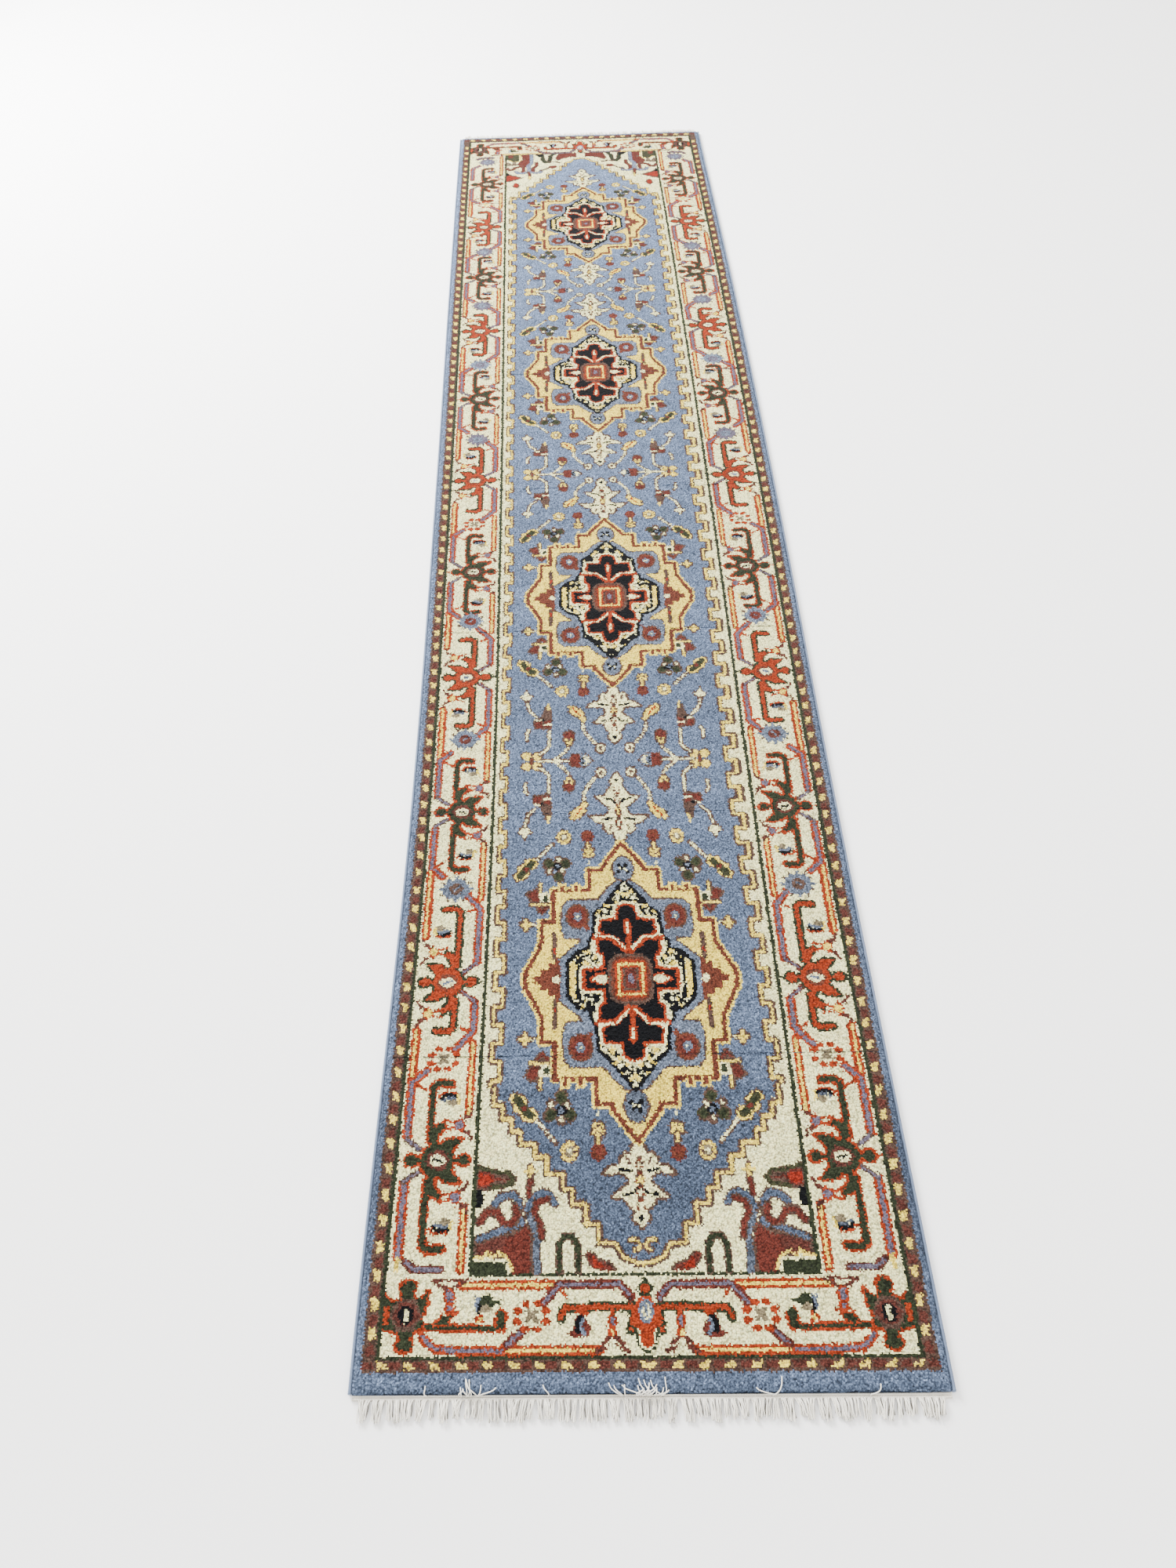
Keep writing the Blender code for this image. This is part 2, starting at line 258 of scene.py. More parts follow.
def draw_guard():
    """Guard stripe of slanted straw blocks on brown, with dark red blocks between."""
    page = Pen()
    page.block("walnut", 110, 115.6, 8, 1148)
    page.block("walnut", 0, 115.6, 7.6, 12.4)
    page.block("walnut", 0, 115.6, 1141.6, 1148)
    row = 22.0
    while row < 1136:
        page.area("maroon", (110.6, row - 8), (114, row - 8.8), (114.2, row - 4.6), (110.6, row - 3.6))
        page.area("straw", (110.4, row - 2.4), (113.4, row - 1.8), (113.8, row + 2.6), (110.8, row + 2))
        row += 11.4
    for k in range(11):
        column = 1 + 10.6 * k
        for low, high in ((8.4, 11.2), (1143.2, 1146.8)):
            page.block("maroon", column + 3.6, column + 8.6, low, high)
            page.area("straw", (column - 2.4, low), (column + 1.6, low + 0.6), (column + 2.2, high),
                      (column - 1.6, high - 0.4))


def draw_border_ground():
    """Ivory ground of the border, inside a green line."""
    page = Pen()
    page.block("ivory", 0, 108, 13, 1140)
    page.block("green", 107.8, 109.8, 12, 1141)
    for low in (11.8, 1139.8):
        page.block("green", 0, 109.8, low, low + 1.8)


def palmette(pen, core, edge, eye, low, high):
    """Side palmette: a long hooked bar through a lobed flower, drawn with the flower to the right."""
    parts = [
        (2.2, (0, 2 - low), (0, -16), (1.6, -11), (2.4, -6), (2.4, 6), (1.6, 11), (0, 16), (0, high - 2)),
        (2.6, (0.4, 1.8 - low), (2.6, -low), (8.4, 0.6 - low)),
        (2.6, (0.4, high - 1.8), (2.6, high), (8.4, high - 0.6)),
        (0, (-4, 0), (-1.6, 5), (2, 8), (7, 7.2), (10.4, 3.8),
         (12, 0), (10.4, -3.8), (7, -7.2), (2, -8), (-1.6, -5)),
        (1.8, (-8, 0), (16, 0)),
        (5.0, (-8, 0.2), (-7.2, 0)),
        (4.6, (15.8, 0.2), (16.4, 0)),
    ]
    for end in (-1, 1):
        parts.append((0, (4, 6 * end), (8, 9.8 * end), (15.4, 10 * end), (12.6, 7 * end), (10, 4 * end)))
        parts.append((0, (-1, 20 * end), (-1, 9 * end), (3, 7 * end), (3.6, 11.6 * end),
                      (6.8, 15.6 * end), (5.8, 17.4 * end), (1.4, 15.4 * end)))
    silhouette(pen, core, edge, 1.15, *parts)
    pen.line(edge, 1.2, (-11, 0), (-13, 0.4))
    pen.line(edge, 1.2, (18.6, 0), (20, 0.4))
    ring, white, heart = eye
    pen.area(ring, (-1.4, 0), (1.4, 4.2), (6.8, 4.6), (10, 0), (6.8, -4.6), (1.4, -4.2))
    pen.oval(white, 4.4, 0, 3.7, 2.6)
    pen.line(heart, 1.5, (2.8, 0.3), (4.4, 0), (6, -0.5))


def x_flower(pen, centre):
    """Small flower on two legs, with a scatter of dark knots beyond it."""
    for leg in (-1, 1):
        pen.line("orange", 1.4, (-1.6, 1.2 * leg), (-4.4, 1.5 * leg), (-7.0, 2.4 * leg))
        pen.line("maroon", 1.6, (1.8, 2.4 * leg), (3.0, 4.0 * leg), (4.4, 3.4 * leg))
        pen.line("maroon", 1.5, (4.6, 4.6 * leg), (5.6, 6.8 * leg))
        pen.line("orange", 1.2, (1.4, 2.2 * leg), (0.4, 3.4 * leg))
    pen.oval("orange", 0, 0, 2.9, 2.7)
    pen.oval(centre, 0, 0, 2.0, 2.0)


def snail(pen):
    """Small hooked flower."""
    pen.line("ink", 2.1, (-3.6, 0.2), (-2.4, 1.8), (1.4, 1.8), (3, 0.8))
    pen.line("slate", 1.5, (-3.0, -0.8), (0.2, 0.4), (3.0, -0.2))
    pen.oval("stone", 1.2, -2.0, 2.4, 1.7)
    pen.line("straw", 1.4, (3.8, 1.8), (4.4, -2.6))
    pen.line("orange", 1.1, (-5.0, 0.6), (-4.2, 2.8), (0.6, 3.5), (3, 2.6))


def rosette(pen, petal, heart):
    """Ring of separate orange knots round a small heart, or a full round flower."""
    if petal == "orange":
        for k in range(8):
            turn = math.pi / 4 * (k + 0.5)
            pen.oval(petal, 6.2 * math.cos(turn), 5.4 * math.sin(turn), 1.9, 1.6)
        for k in range(4):
            turn = math.pi / 2 * (k + 0.5)
            pen.line(heart, 1.9, (0, 0), (2.5 * math.cos(turn), 2.5 * math.sin(turn)))
        return
    for k in range(12):
        turn = math.pi / 6 * k
        pen.line("walnut" if k % 3 else petal, 1.5, (0, 0), (8.6 * math.cos(turn), 7.8 * math.sin(turn)))
    for k in range(10):
        turn = math.pi / 5 * (k + 0.5)
        pen.oval(petal, 5.2 * math.cos(turn), 4.9 * math.sin(turn), 2.3, 2.1)
    pen.oval(heart, 0, 0, 3.8, 3.4)
    pen.line(petal, 1.0, (-1, 1), (1, -0.6))


def lane(core, core_width, edge, edge_width, *points):
    """Long bar of the border: a core between two coloured lines."""
    Pen().edged(core, core_width, edge, edge_width, *points)


def draw_lanes(green, orange, scale):
    """Bars on both sides of the border, between a green palmette and an orange one."""
    way = 1 if orange > green else -1
    gap = abs(orange - green)
    far = gap - 63 * scale

    def up(rows):
        """Row this far past the green palmette, towards the orange one."""
        return green + way * rows * scale

    def down(rows):
        """Row this far before the orange palmette."""
        return orange - way * rows

    lane("straw", 1.5, "orange", 1.5, (105.2, up(38)), (105.2, down(26 * scale)))
    lane("straw", 1.5, "orange", 1.5, (77.4, up(22)), (77.4, down(far + 6)))
    lane("lilac", 2.0, "orange", 1.3, (105.0, up(11)), (105.0, up(37)), (98.6, up(43)))
    lane("lilac", 1.3, "walnut", 0.7, (105.0, up(10)), (98.6, up(5)))
    lane("lilac", 2.0, "orange", 1.3, (77.8, down(11 * scale)), (77.8, down(far)), (85.6,
         down(far + 9 * scale)))
    lane("lilac", 1.3, "brick", 0.7, (78.0, down(10.5 * scale)), (84.4, down(5.4 * scale)))
    Pen().line("orange", 1.5, (103.6, up(37.4)), (101, up(35.4)), (97.4, up(33)))
    Pen().line("orange", 1.5, (80, down(far - 0.4)), (84, down(far - 2)))


def draw_side_border():
    """Bars, palmettes, small flowers and rosettes down the side border."""
    lane("straw", 1.5, "orange", 1.5, (77.4, 47), (77.4, 73))
    lane("lilac", 2.0, "orange", 1.3, (104.6, 52), (104.6, 84))
    lane("lilac", 1.3, "walnut", 0.7, (104.6, 84.6), (98.4, 89))
    Pen().line("straw", 1.6, (104.4, 46.6), (104.4, 52))
    palmettes = [(row, scale, True) for row, scale in GREEN_PALMETTES]
    palmettes += [(row, scale, False) for row, scale in ORANGE_PALMETTES]
    palmettes.sort()
    for (row, scale, green), (following, other, _) in zip(palmettes, palmettes[1:]):
        pair = (row, following) if green else (following, row)
        draw_lanes(*pair, min(scale, other))
    last = palmettes[-1][0]
    lane("straw", 1.5, "orange", 1.5, (77.4, last + 19), (77.4, 1106))
    lane("lilac", 2.0, "orange", 1.3, (105, last + 10), (105, last + 34), (99, last + 39))
    for k, (row, scale, green) in enumerate(palmettes):
        if green:
            pen = Pen(94.6, row, -1, scale)
            palmette(pen, "green", "orange", ("maroon", "ivory", "ink"), 39, 37)
            reaches = (39, 37)
        else:
            reaches = []
            for other in (palmettes[k - 1], palmettes[k + 1]):
                reaches.append(abs(other[0] - row) / scale - 63)
            pen = Pen(87.6, row, 1, scale)
            palmette(pen, "orange", "green", ("rust", "ivory", "slate"), *reaches)
        for end, reach in zip((-1, 1), reaches):
            if green:
                x_flower(Pen(81.4, row + 16.5 * end * scale, -1), "lilac")
            else:
                x_flower(Pen(100.2, row + 17.2 * end * scale), "straw")
            if reach > 35:
                column = 86.6 if green else 96.4
                snail(Pen(column, row + 29 * end * scale, -1 if green else 1, end if green else -end))
    for row, petal, heart in ROSETTES:
        rosette(Pen(91.0, row), petal, heart)


def draw_end_border(pen):
    """End border from the corner palmette to the middle, drawn for the near end."""
    lanes = (
        ("lilac", "orange", (91.6, 20.6), (86, 15.8), (59, 15.2)),
        ("straw", "orange", (56.6, 15.2), (19, 15.6)),
        ("lilac", "brick", (57, 17.4), (51, 22.6)),
        ("straw", "orange", (77, 40.6), (38, 40.6)),
        ("lilac", "brick", (42, 33.6), (36, 40.4), (10.6, 41), (6, 35.6)),
        ("lilac", "maroon", (101, 50), (97, 47), (86, 47)),
    )
    for core, edge, *path in lanes:
        pen.edged(core, 1.4, edge, 1.25, *path)
    silhouette(pen, "green", "orange", 1.1, (1.5, (92, 24.4), (62, 23.6)), (3.2, (59.8, 24.6), (59.6, 29)))
    silhouette(pen, "green", "orange", 0.9, (0, (86.6, 25.6), (84, 28.6), (79.6, 28.8), (82, 25.6)))
    pen.line("orange", 1.2, (80, 29.4), (77.4, 30.4))
    silhouette(pen, "green", "orange", 1.2, (0, (107.8, 36.4), (104.6, 33.8), (101.6, 35.4), (100.6, 38),
               (96.8, 38), (95.2, 34.8), (92.6, 35.6), (90, 38.4), (91, 32), (92.6, 28), (91.6, 24.4),
               (96, 22.4), (97, 19), (100.4, 19), (101.8, 22.4), (107.8, 24)),
               (5.2, (99.2, 39.6), (98.2, 39.8)), (4.6, (99.6, 17.6), (97.8, 17.6)))
    pen.block("green", 107.8, 109.8, 16, 42)
    pen.line("orange", 1.5, (107, 26), (107, 32))
    corner = pen.moved(98.8, 29)
    corner.area("walnut", (-7, 0), (-3.4, 6.4), (3.6, 6.4), (7, 0), (3.6, -6), (-3.4, -6))
    corner.area("maroon", (-5.8, 0), (-2.6, 4.8), (2.8, 4.8), (5.8, 0), (2.8, -4.6), (-2.6, -4.6))
    corner.oval("ink", 0, 0, 3.1, 3.9)
    corner.line("ivory", 1.7, (0.2, -2), (-0.4, 0.4), (0.2, 2))
    pen.edged("lilac", 2.4, "orange", 1.3, (81.4, 35.4), (81.4, 37.6))
    pen.edged("lilac", 1.6, "orange", 1.4, (81, 31.4), (81, 32))
    for side in (-1, 1):
        pen.line("orange", 1.4, (81 + 1.4 * side, 31), (81 + 3.4 * side, 29.6))
        pen.line("maroon", 1.5, (81.4 + 1.6 * side, 39.6), (81.4 + 4 * side, 40.6), (81.4 + 7 * side, 42.4))
        pen.line("maroon", 1.4, (81.4 + 0.6 * side, 42.4), (81.4 + 5 * side, 42.6))
    pen.line("slate", 2.2, (69.8, 35), (69.4, 31.4))
    pen.line("ink", 1.6, (68.6, 33), (68.8, 29.6))
    pen.oval("green", 65.6, 34.2, 3.2, 2.4)
    pen.line("green", 1.2, (63, 34), (60.4, 34.2))
    pen.oval("stone", 66, 31.2, 2.4, 1.5)
    pen.line("orange", 1.6, (70, 27.4), (67.6, 28.6), (67, 26.4))
    pen.line("straw", 1.4, (68.6, 26.8), (67.6, 27.6))
    rosette(pen.moved(47, 28.4), "orange", "stone")
    silhouette(pen, "orange", "green", 1.0, (2.0, (3, 31.8), (33, 31.6), (34.8, 29), (34.8, 27.4)),
               (2.4, (4.6, 31), (6, 23)), (1.6, (13.6, 30.6), (13.8, 29.6)))
    pen.area("brick", (23.6, 20.4), (30, 20), (33, 21.8), (30, 23), (29, 28.6), (25.6, 28.6), (22.6, 23.6))
    pen.line("slate", 2.0, (25.4, 21.6), (27.4, 24.4), (26.2, 27.2))
    pen.line("ink", 1.9, (28, 22), (28.6, 25.6), (26.8, 28))
    pen.line("orange", 1.5, (24, 29.6), (28.4, 29.8))
    pen.edged("lilac", 1.7, "orange", 1.2, (14, 25.6), (14, 27))
    pen.edged("straw", 1.6, "orange", 1.1, (14, 21.6), (14, 22.6))
    for side in (-1, 1):
        pen.line("maroon", 1.9, (14 + 1.6 * side, 19.8), (14 + 4 * side, 18), (14 + 4 * side, 15.8),
                 (14 + 6.4 * side, 14.8))
        pen.line("maroon", 1.4, (14 + 1.4 * side, 17.6), (14 + 3 * side, 16))
    pen.line("orange", 1.4, (34.8, 38.4), (33, 36))
    silhouette(pen, "green", "green", 0.0, (0, (0, 43.4), (1.6, 41.6), (3.6, 39.4), (2.2, 36.8),
               (3.4, 33.4), (0, 33)))
    pen.oval("orange", 0, 39, 1.8, 2.0)
    silhouette(pen, "orange", "orange", 0.0, (0, (0, 36.4), (2.6, 35.4), (5.4, 31), (5.6, 26), (3, 22),
               (2.4, 17.4), (0, 15.6)))
    pen.line("green", 1.0, (6.6, 25), (4.2, 22.4), (3.8, 17.6), (1.4, 14.8), (0, 14.6))
    pen.oval("slate", 0, 30, 3.1, 4.8)
    pen.oval("ivory", 0, 30, 1.7, 3.2)
    pen.line("slate", 1.0, (0, 28), (0, 32))


def draw_side_edge():
    """Ivory edge of the field, with its stepped straw line."""
    page = Pen()
    page.block("ivory", 62, 72, 44, 1110)
    page.block("green", 72, 74, 44, 1110)
    page.block("green", 0, 74, 44, 45.6)
    page.block("walnut", 0, 74, 1108.6, 1110)
    row = 122.0
    line = []
    outer = True
    while row < 1022:
        column = 68.0 if outer else 63.8
        line += [(column, row), (column, row + 9.6)]
        row += 9.6
        outer = not outer
    edge = [(60, 122)] + line + [(60, row)]
    page.area("indigo", *edge)
    page.edged("straw", 1.5, "walnut", 1.0, *line)


# ---- the corners of the field ----
NEAR_STAIR = ((66, 128), (66, 119.5), (62, 119.5), (62, 113), (57.5, 113), (57.5, 107), (53.5, 107),
              (53.5, 101), (46.5, 101), (46.5, 95), (41, 95), (41, 87.5), (34, 87.5), (34, 80.5),
              (30, 80.5), (30, 74), (24, 74), (24, 65.5), (18.5, 65.5), (18.5, 57.5), (11.5, 57), (9, 52),
              (4, 49.4), (0, 49))
FAR_STAIR = ((68, 1012), (68, 1019), (60, 1019), (60, 1030), (52, 1030), (52, 1039), (45.5, 1039),
             (45.5, 1048), (39, 1048), (39, 1056), (33, 1056), (33, 1065), (26.5, 1065), (26.5, 1073),
             (20, 1073), (20, 1081), (15, 1081), (15, 1088), (10, 1090), (7, 1095), (0, 1097.5))


def draw_near_corner():
    """Stepped ivory corner of the field at the near end, with its hooks and flowers."""
    page = Pen()
    page.area("ivory", *NEAR_STAIR, (0, 45.6), (72, 45.6), (72, 128))
    page.edged("straw", 1.4, "walnut", 1.0, *NEAR_STAIR)
    page.area("green", (58, 45.6), (72, 45.6), (72, 50), (58, 50))
    page.area("walnut", (47, 45.6), (56.6, 45.6), (57.6, 51.4), (72, 52), (72, 60), (65, 59.8), (61, 62),
              (56, 62.6), (52, 66), (49, 65.6), (47, 60))
    page.area("maroon", (56, 52.6), (71, 53), (71, 58.4), (66, 58.4), (60, 60.6), (56, 60))
    page.area("brick", (47.8, 45.6), (56, 45.6), (57, 52), (60, 53), (58, 60.4), (54, 61.6), (51.6, 65),
              (49.6, 64.6), (47.8, 60))
    page.line("straw", 1.2, (72, 51.8), (68, 51.8), (66, 54), (64.4, 51.8), (61.6, 54), (57, 51), (55.8, 46))
    page.edged("indigo", 2.6, "walnut", 0.7, (70, 59.4), (66, 61), (58, 64), (53, 65))
    page.edged("slate", 2.8, "walnut", 0.6, (44.8, 46), (45.4, 56), (44.6, 60), (47, 66), (49.5, 73))
    page.edged("indigo", 3.0, "walnut", 0.8, (52, 66), (54, 70), (53.4, 75), (56, 78.4), (61, 77.6),
               (63.6, 74.6))
    page.edged("indigo", 2.6, "walnut", 0.7, (49.5, 72), (47.4, 77), (43, 79.4), (39.6, 78), (37.6, 74.4))
    page.edged("brick", 2.4, "walnut", 0.8, (70, 66.6), (67, 71), (62.4, 71), (60, 66.4), (56, 66),
               (53.6, 69.6), (55, 73))
    page.edged("brick", 2.2, "walnut", 0.6, (43, 60), (43.8, 66), (46.4, 70), (45.4, 75), (40.6, 76.4))
    page.edged("brick", 2.0, "walnut", 0.7, (49, 78), (48.4, 86))
    page.edged("straw", 1.5, "walnut", 0.8, (48.4, 86.5), (48.4, 91))
    page.line("straw", 1.4, (46, 88.8), (50.8, 88.8))
    page.area("walnut", (72, 92.4), (66, 90), (58, 89.4), (53.6, 85.4), (57, 81.4), (66, 80), (72, 80))
    page.line("moss", 2.0, (71, 90.4), (66, 88.8), (58, 88), (55.6, 85.2), (58, 82.6), (66, 81.4))
    page.area("brick", (71.4, 81.4), (66.4, 81.8), (64.4, 84.6), (57.6, 85), (64.4, 86), (66.4, 88.6),
              (71.4, 88.6))
    page.area("scarlet", (71.4, 82.4), (67.4, 82.6), (65, 85), (67.4, 87.6), (71.4, 87.6))
    page.area("ink", (72, 72.4), (69.6, 72.4), (68.6, 76), (69.2, 80.4), (72, 81))
    page.edged("green", 2.2, "walnut", 0.6, (35.5, 46), (35.5, 57), (33.5, 60.4), (30, 60.4), (28, 57),
               (27.6, 46))
    page.area("walnut", (25.4, 53), (22, 54.6), (17.6, 51), (13, 49.4), (11, 45.8), (18, 45.8), (22.6, 47.4))
    page.area("brick", (24.6, 53), (22, 53.6), (18, 50), (14, 48.4), (12.2, 45.8), (17, 46), (21.4, 47))
    page.area("scarlet", (21.6, 51.6), (18, 49), (16.4, 47), (21, 47.6))
    page.edged("straw", 1.2, "walnut", 0.8, (5.6, 58.6), (2.4, 58.8), (1, 55.6), (3.6, 54.4))


def draw_far_corner():
    """Stepped ivory corner of the field at the far end."""
    page = Pen()
    page.area("ivory", *FAR_STAIR, (0, 1108.6), (72, 1108.6), (72, 1012))
    page.edged("straw", 1.2, "walnut", 0.8, *FAR_STAIR)
    page.area("moss", (60, 1095), (68, 1095), (72, 1099), (72, 1108.6), (60, 1108.6))
    page.line("straw", 1.6, (58.6, 1108), (58.6, 1094), (66, 1093.6), (70, 1097))
    page.area("brick", (66, 1103), (71, 1103), (71, 1108.4), (66, 1108.4))
    page.edged("stone", 1.4, "walnut", 1.1, (65, 1093), (65, 1088), (70, 1086.5), (71, 1091.5))
    page.edged("stone", 1.2, "walnut", 1.0, (65, 1088), (60.5, 1087), (60, 1091.5))
    page.area("brick", (49.6, 1108.4), (58, 1108.4), (57, 1099), (62, 1090), (60, 1083.4), (52, 1082),
              (49.6, 1087))
    page.area("walnut", (57.6, 1101), (55.6, 1098.6), (57.8, 1096.6), (54, 1098), (54, 1100))
    page.edged("slate", 2.8, "lilac", 0.8, (48, 1108), (48, 1090), (51, 1084), (51, 1072))
    page.edged("brick", 2.6, "walnut", 0.7, (43.6, 1091), (43.4, 1084), (47, 1078), (46.4, 1072))
    page.edged("brick", 2.6, "walnut", 0.7, (55.6, 1082), (56.4, 1072))
    page.edged("slate", 2.4, "lilac", 0.8, (51, 1072), (56, 1068.4), (61.4, 1069), (63, 1073))
    page.edged("slate", 2.4, "lilac", 0.8, (51, 1072), (45, 1068.4), (39.6, 1069.4), (38.8, 1074))
    page.edged("brick", 2.2, "walnut", 0.8, (72, 1079.6), (69, 1075.6), (66, 1077), (64, 1081), (58, 1083))
    page.edged("brick", 2.2, "walnut", 0.7, (51, 1071), (50, 1062))
    page.edged("straw", 1.5, "walnut", 0.9, (50, 1061), (50, 1056))
    page.line("straw", 1.5, (47.6, 1058.6), (52.4, 1058.6))
    page.edged("walnut", 1.6, "walnut", 0.4, (41, 1072), (34, 1076.6), (30, 1080))
    page.oval("brick", 27.5, 1080.4, 4.2, 3.0)
    page.area("walnut", (72, 1050), (72, 1069), (66, 1065), (55.6, 1059), (66, 1052.4))
    page.area("scarlet", (72, 1052.6), (72, 1066), (67, 1063), (59, 1059), (67, 1054.4))
    page.area("ink", (72, 1063.6), (72, 1071), (69.6, 1069.4), (70.4, 1064))
    page.oval("walnut", 63, 1043, 3.4, 5.6)
    page.oval("scarlet", 63, 1043, 2.4, 4.4)
    page.edged("green", 3.0, "walnut", 0.8, (37.6, 1107), (37, 1096), (34.6, 1091), (31.4, 1091),
               (30, 1096), (29.4, 1104), (26.6, 1108))
    page.line("walnut", 2.4, (31, 1091), (24.6, 1091), (20.6, 1089))
    page.area("ink", (36.6, 1108.4), (45, 1108.4), (41, 1103), (38.4, 1102))
    page.area("brick", (4, 1108.6), (4, 1101.6), (12, 1101), (17, 1099), (23, 1094.6), (25, 1098),
              (22, 1108.6))
    page.line("walnut", 1.4, (4, 1101), (12, 1100.4), (17, 1098.4), (23, 1094))


# ---- the medallions ----
# middle row and stretch of each medallion, and the stretch of the pendants at its near and far tips
MEDALLIONS = ((184.5, 1.0, (0.76, 0.98)), (462.0, 0.946, (0.92, 0.92)), (720.5, 0.94, (0.84, 0.84)),
              (963.5, 0.856, (0.78, 0.78)))
PENDANT_ROW = 83.5           # where a pendant hangs, counted from its medallion's middle
# middle row and stretch of the flowers between two medallions
GAPS = ((325.5, 1.0), (592, 0.88), (845.5, 0.82))
MEDALLION_EDGE = ((0, 82.5), (10.6, 68), (11, 65), (18.4, 65), (18.4, 52.5), (38, 52.5), (38, 33.5),
                  (44.4, 33.5), (44.4, 21), (47.6, 14), (50.6, 8), (52.6, 5), (52.9, 0))
MEDALLION_CLOTH = ((0, 57.5), (4, 57.5), (9, 53), (14, 46), (30, 46), (33, 42.5), (33.5, 29), (32, 24),
                   (23.5, 23.5), (24.5, 21), (35.5, 11), (35.5, 0), (0, 0))
CARTOUCHE = ((0, 57), (3, 53), (8, 46.4), (11, 42), (16, 37.6), (16.6, 25), (19.4, 21), (19.4, 17),
             (26, 14.6), (31, 8.5), (31, 0))
CARTOUCHE_REACH = ((0, 31), (8, 31), (15, 26), (17, 19.4), (25, 16.2), (38, 15.6), (47, 8.8), (56, 0.4),
                   (57, 0))
CROSS = ((0, 43), (3.6, 41.5), (4.8, 36), (4.6, 34), (13.4, 33.6), (13.8, 27.4), (10, 24.6), (15.4, 23.4),
         (15.2, 15.4), (12.8, 13), (13, 5.2), (23, 5), (23, 0), (0, 0))


def scrawl(pen, outline):
    """Fills an area with small dark and straw squiggles."""
    edge = pen.at(outline)
    for yarn, low, high in (("straw", 0.95, 3.0), ("ink", -0.92, 0.50)):

        def inside(columns, rows):
            level = np.sin(0.88 * columns + 1.7 * np.sin(0.76 * rows + 0.5))
            level += np.sin(0.86 * rows + 1.6 * np.sin(0.78 * columns))
            reach = np.interp((rows - pen.row) / pen.along, *zip(*CARTOUCHE_REACH))
            return (level > low) & (level < high) & (columns < reach)

        pen.tie(yarn, edge, 0.0, inside)


def quarter(pen):
    """A quarter of a medallion, from its middle to one tip."""
    tip = ((0, 0),)
    pen.line("straw", 4.6, *MEDALLION_EDGE)
    pen.area("straw", *MEDALLION_EDGE, *tip)
    pen.line("rust", 2.3, *MEDALLION_EDGE)
    for tooth in (25.5, 33):
        pen.block("straw", tooth - 2.2, tooth + 2.2, 52, 57)
        pen.block("rust", tooth - 1.1, tooth + 1.1, 52, 55.6)
    pen.edged("slate", 0.8, "walnut", 0.8, *MEDALLION_CLOTH[:-1])
    pen.area("slate", *MEDALLION_CLOTH)
    pen.oval("walnut", 0, 66, 6.4, 8.6)
    pen.oval("slate", 0, 66, 5.2, 7.6)
    for c, r in ((0.6, 66), (2.4, 64), (1.8, 68)):
        pen.oval("ink", c, r, 1.1, 1.3)
    pen.oval("ivory", 1.6, 65.8, 0.7, 1.0)
    # rust ring with its knob
    pen.oval("walnut", 25.5, 36.5, 6.3, 7.6)
    pen.oval("rust", 25.5, 36.5, 5.6, 6.9)
    pen.oval("brick", 25.5, 36.5, 4.4, 5.4)
    pen.line("rust", 2.6, (22, 31.5), (20.6, 29.4))
    pen.oval("slate", 25.5, 36.5, 2.2, 2.7)
    pen.oval("ivory", 25.5, 36.5, 0.8)
    # palmette and stem in the straw wing
    pen.line("walnut", 2.6, (38.2, 26), (38.2, 12))
    pen.line("scarlet", 1.6, (38, 17.4), (38, 15.6))
    pen.area("rust", (35.4, 0), (35, 9), (36.6, 13.4), (38.4, 9), (41.6, 9.6), (41.6, 5.4), (45.4, 6),
             (45, 2.6), (49.4, 1.6), (48.4, 0))
    # cartouche
    pen.line("ink", 3.9, *CARTOUCHE)
    pen.area("ivory", *CARTOUCHE, *tip)
    scrawl(pen, CARTOUCHE)
    pen.area("straw", (28, 0), (28, 11), (31, 8), (31, 0))
    pen.line("ink", 1.7, (26.8, 0), (26.8, 10), (24, 13))
    pen.line("slate", 2.0, (0, 60.6), (3.6, 60.6))
    # black cross, outlined in orange and ivory
    pen.line("ivory", 5.4, *CROSS[:-1])
    pen.line("orange", 2.8, *CROSS[:-1])
    pen.area("ink", *CROSS)
    pen.line("orange", 3.4, (0.6, 15), (3.6, 18.6), (8.4, 23.6), (17, 23.8))
    pen.line("ivory", 1.2, (1.6, 17), (3.8, 19.6), (8, 24.2), (17, 24.6))
    pen.line("orange", 2.2, (0, 13), (0, 34))
    pen.edged("ivory", 1.5, "orange", 1.2, (0, 27), (0, 32))
    pen.line("orange", 3.2, (10, 0), (19.4, 0))
    pen.oval("orange", 15, 0, 3.8, 3.4)
    pen.oval("ivory", 14.8, 0, 2.9, 2.4)
    pen.line("ivory", 1.2, (11, 0), (18.6, 0))
    # heart of the medallion
    pen.area("walnut", (0, 0), (0, 14.4), (7, 14), (10.6, 10.6), (11.6, 5), (11.4, 0))
    pen.area("rust", (0, 0), (0, 12.6), (6.6, 12.2), (9.2, 9.2), (9.8, 4), (9.6, 0))
    pen.area("orange", (0, 0), (0, 10.8), (6.8, 10.4), (8.2, 8), (8.2, 0))
    pen.line("straw", 1.5, (6.1, 0), (6.1, 8.4), (0, 8.4))
    pen.area("walnut", (0, 0), (0, 6.2), (4.0, 6.2), (4.0, 0))
    pen.area("brick", (0, 0), (0, 5.4), (3.0, 5.4), (3.0, 0))
    pen.oval("lilac", 0, 0, 1.4, 2.6)


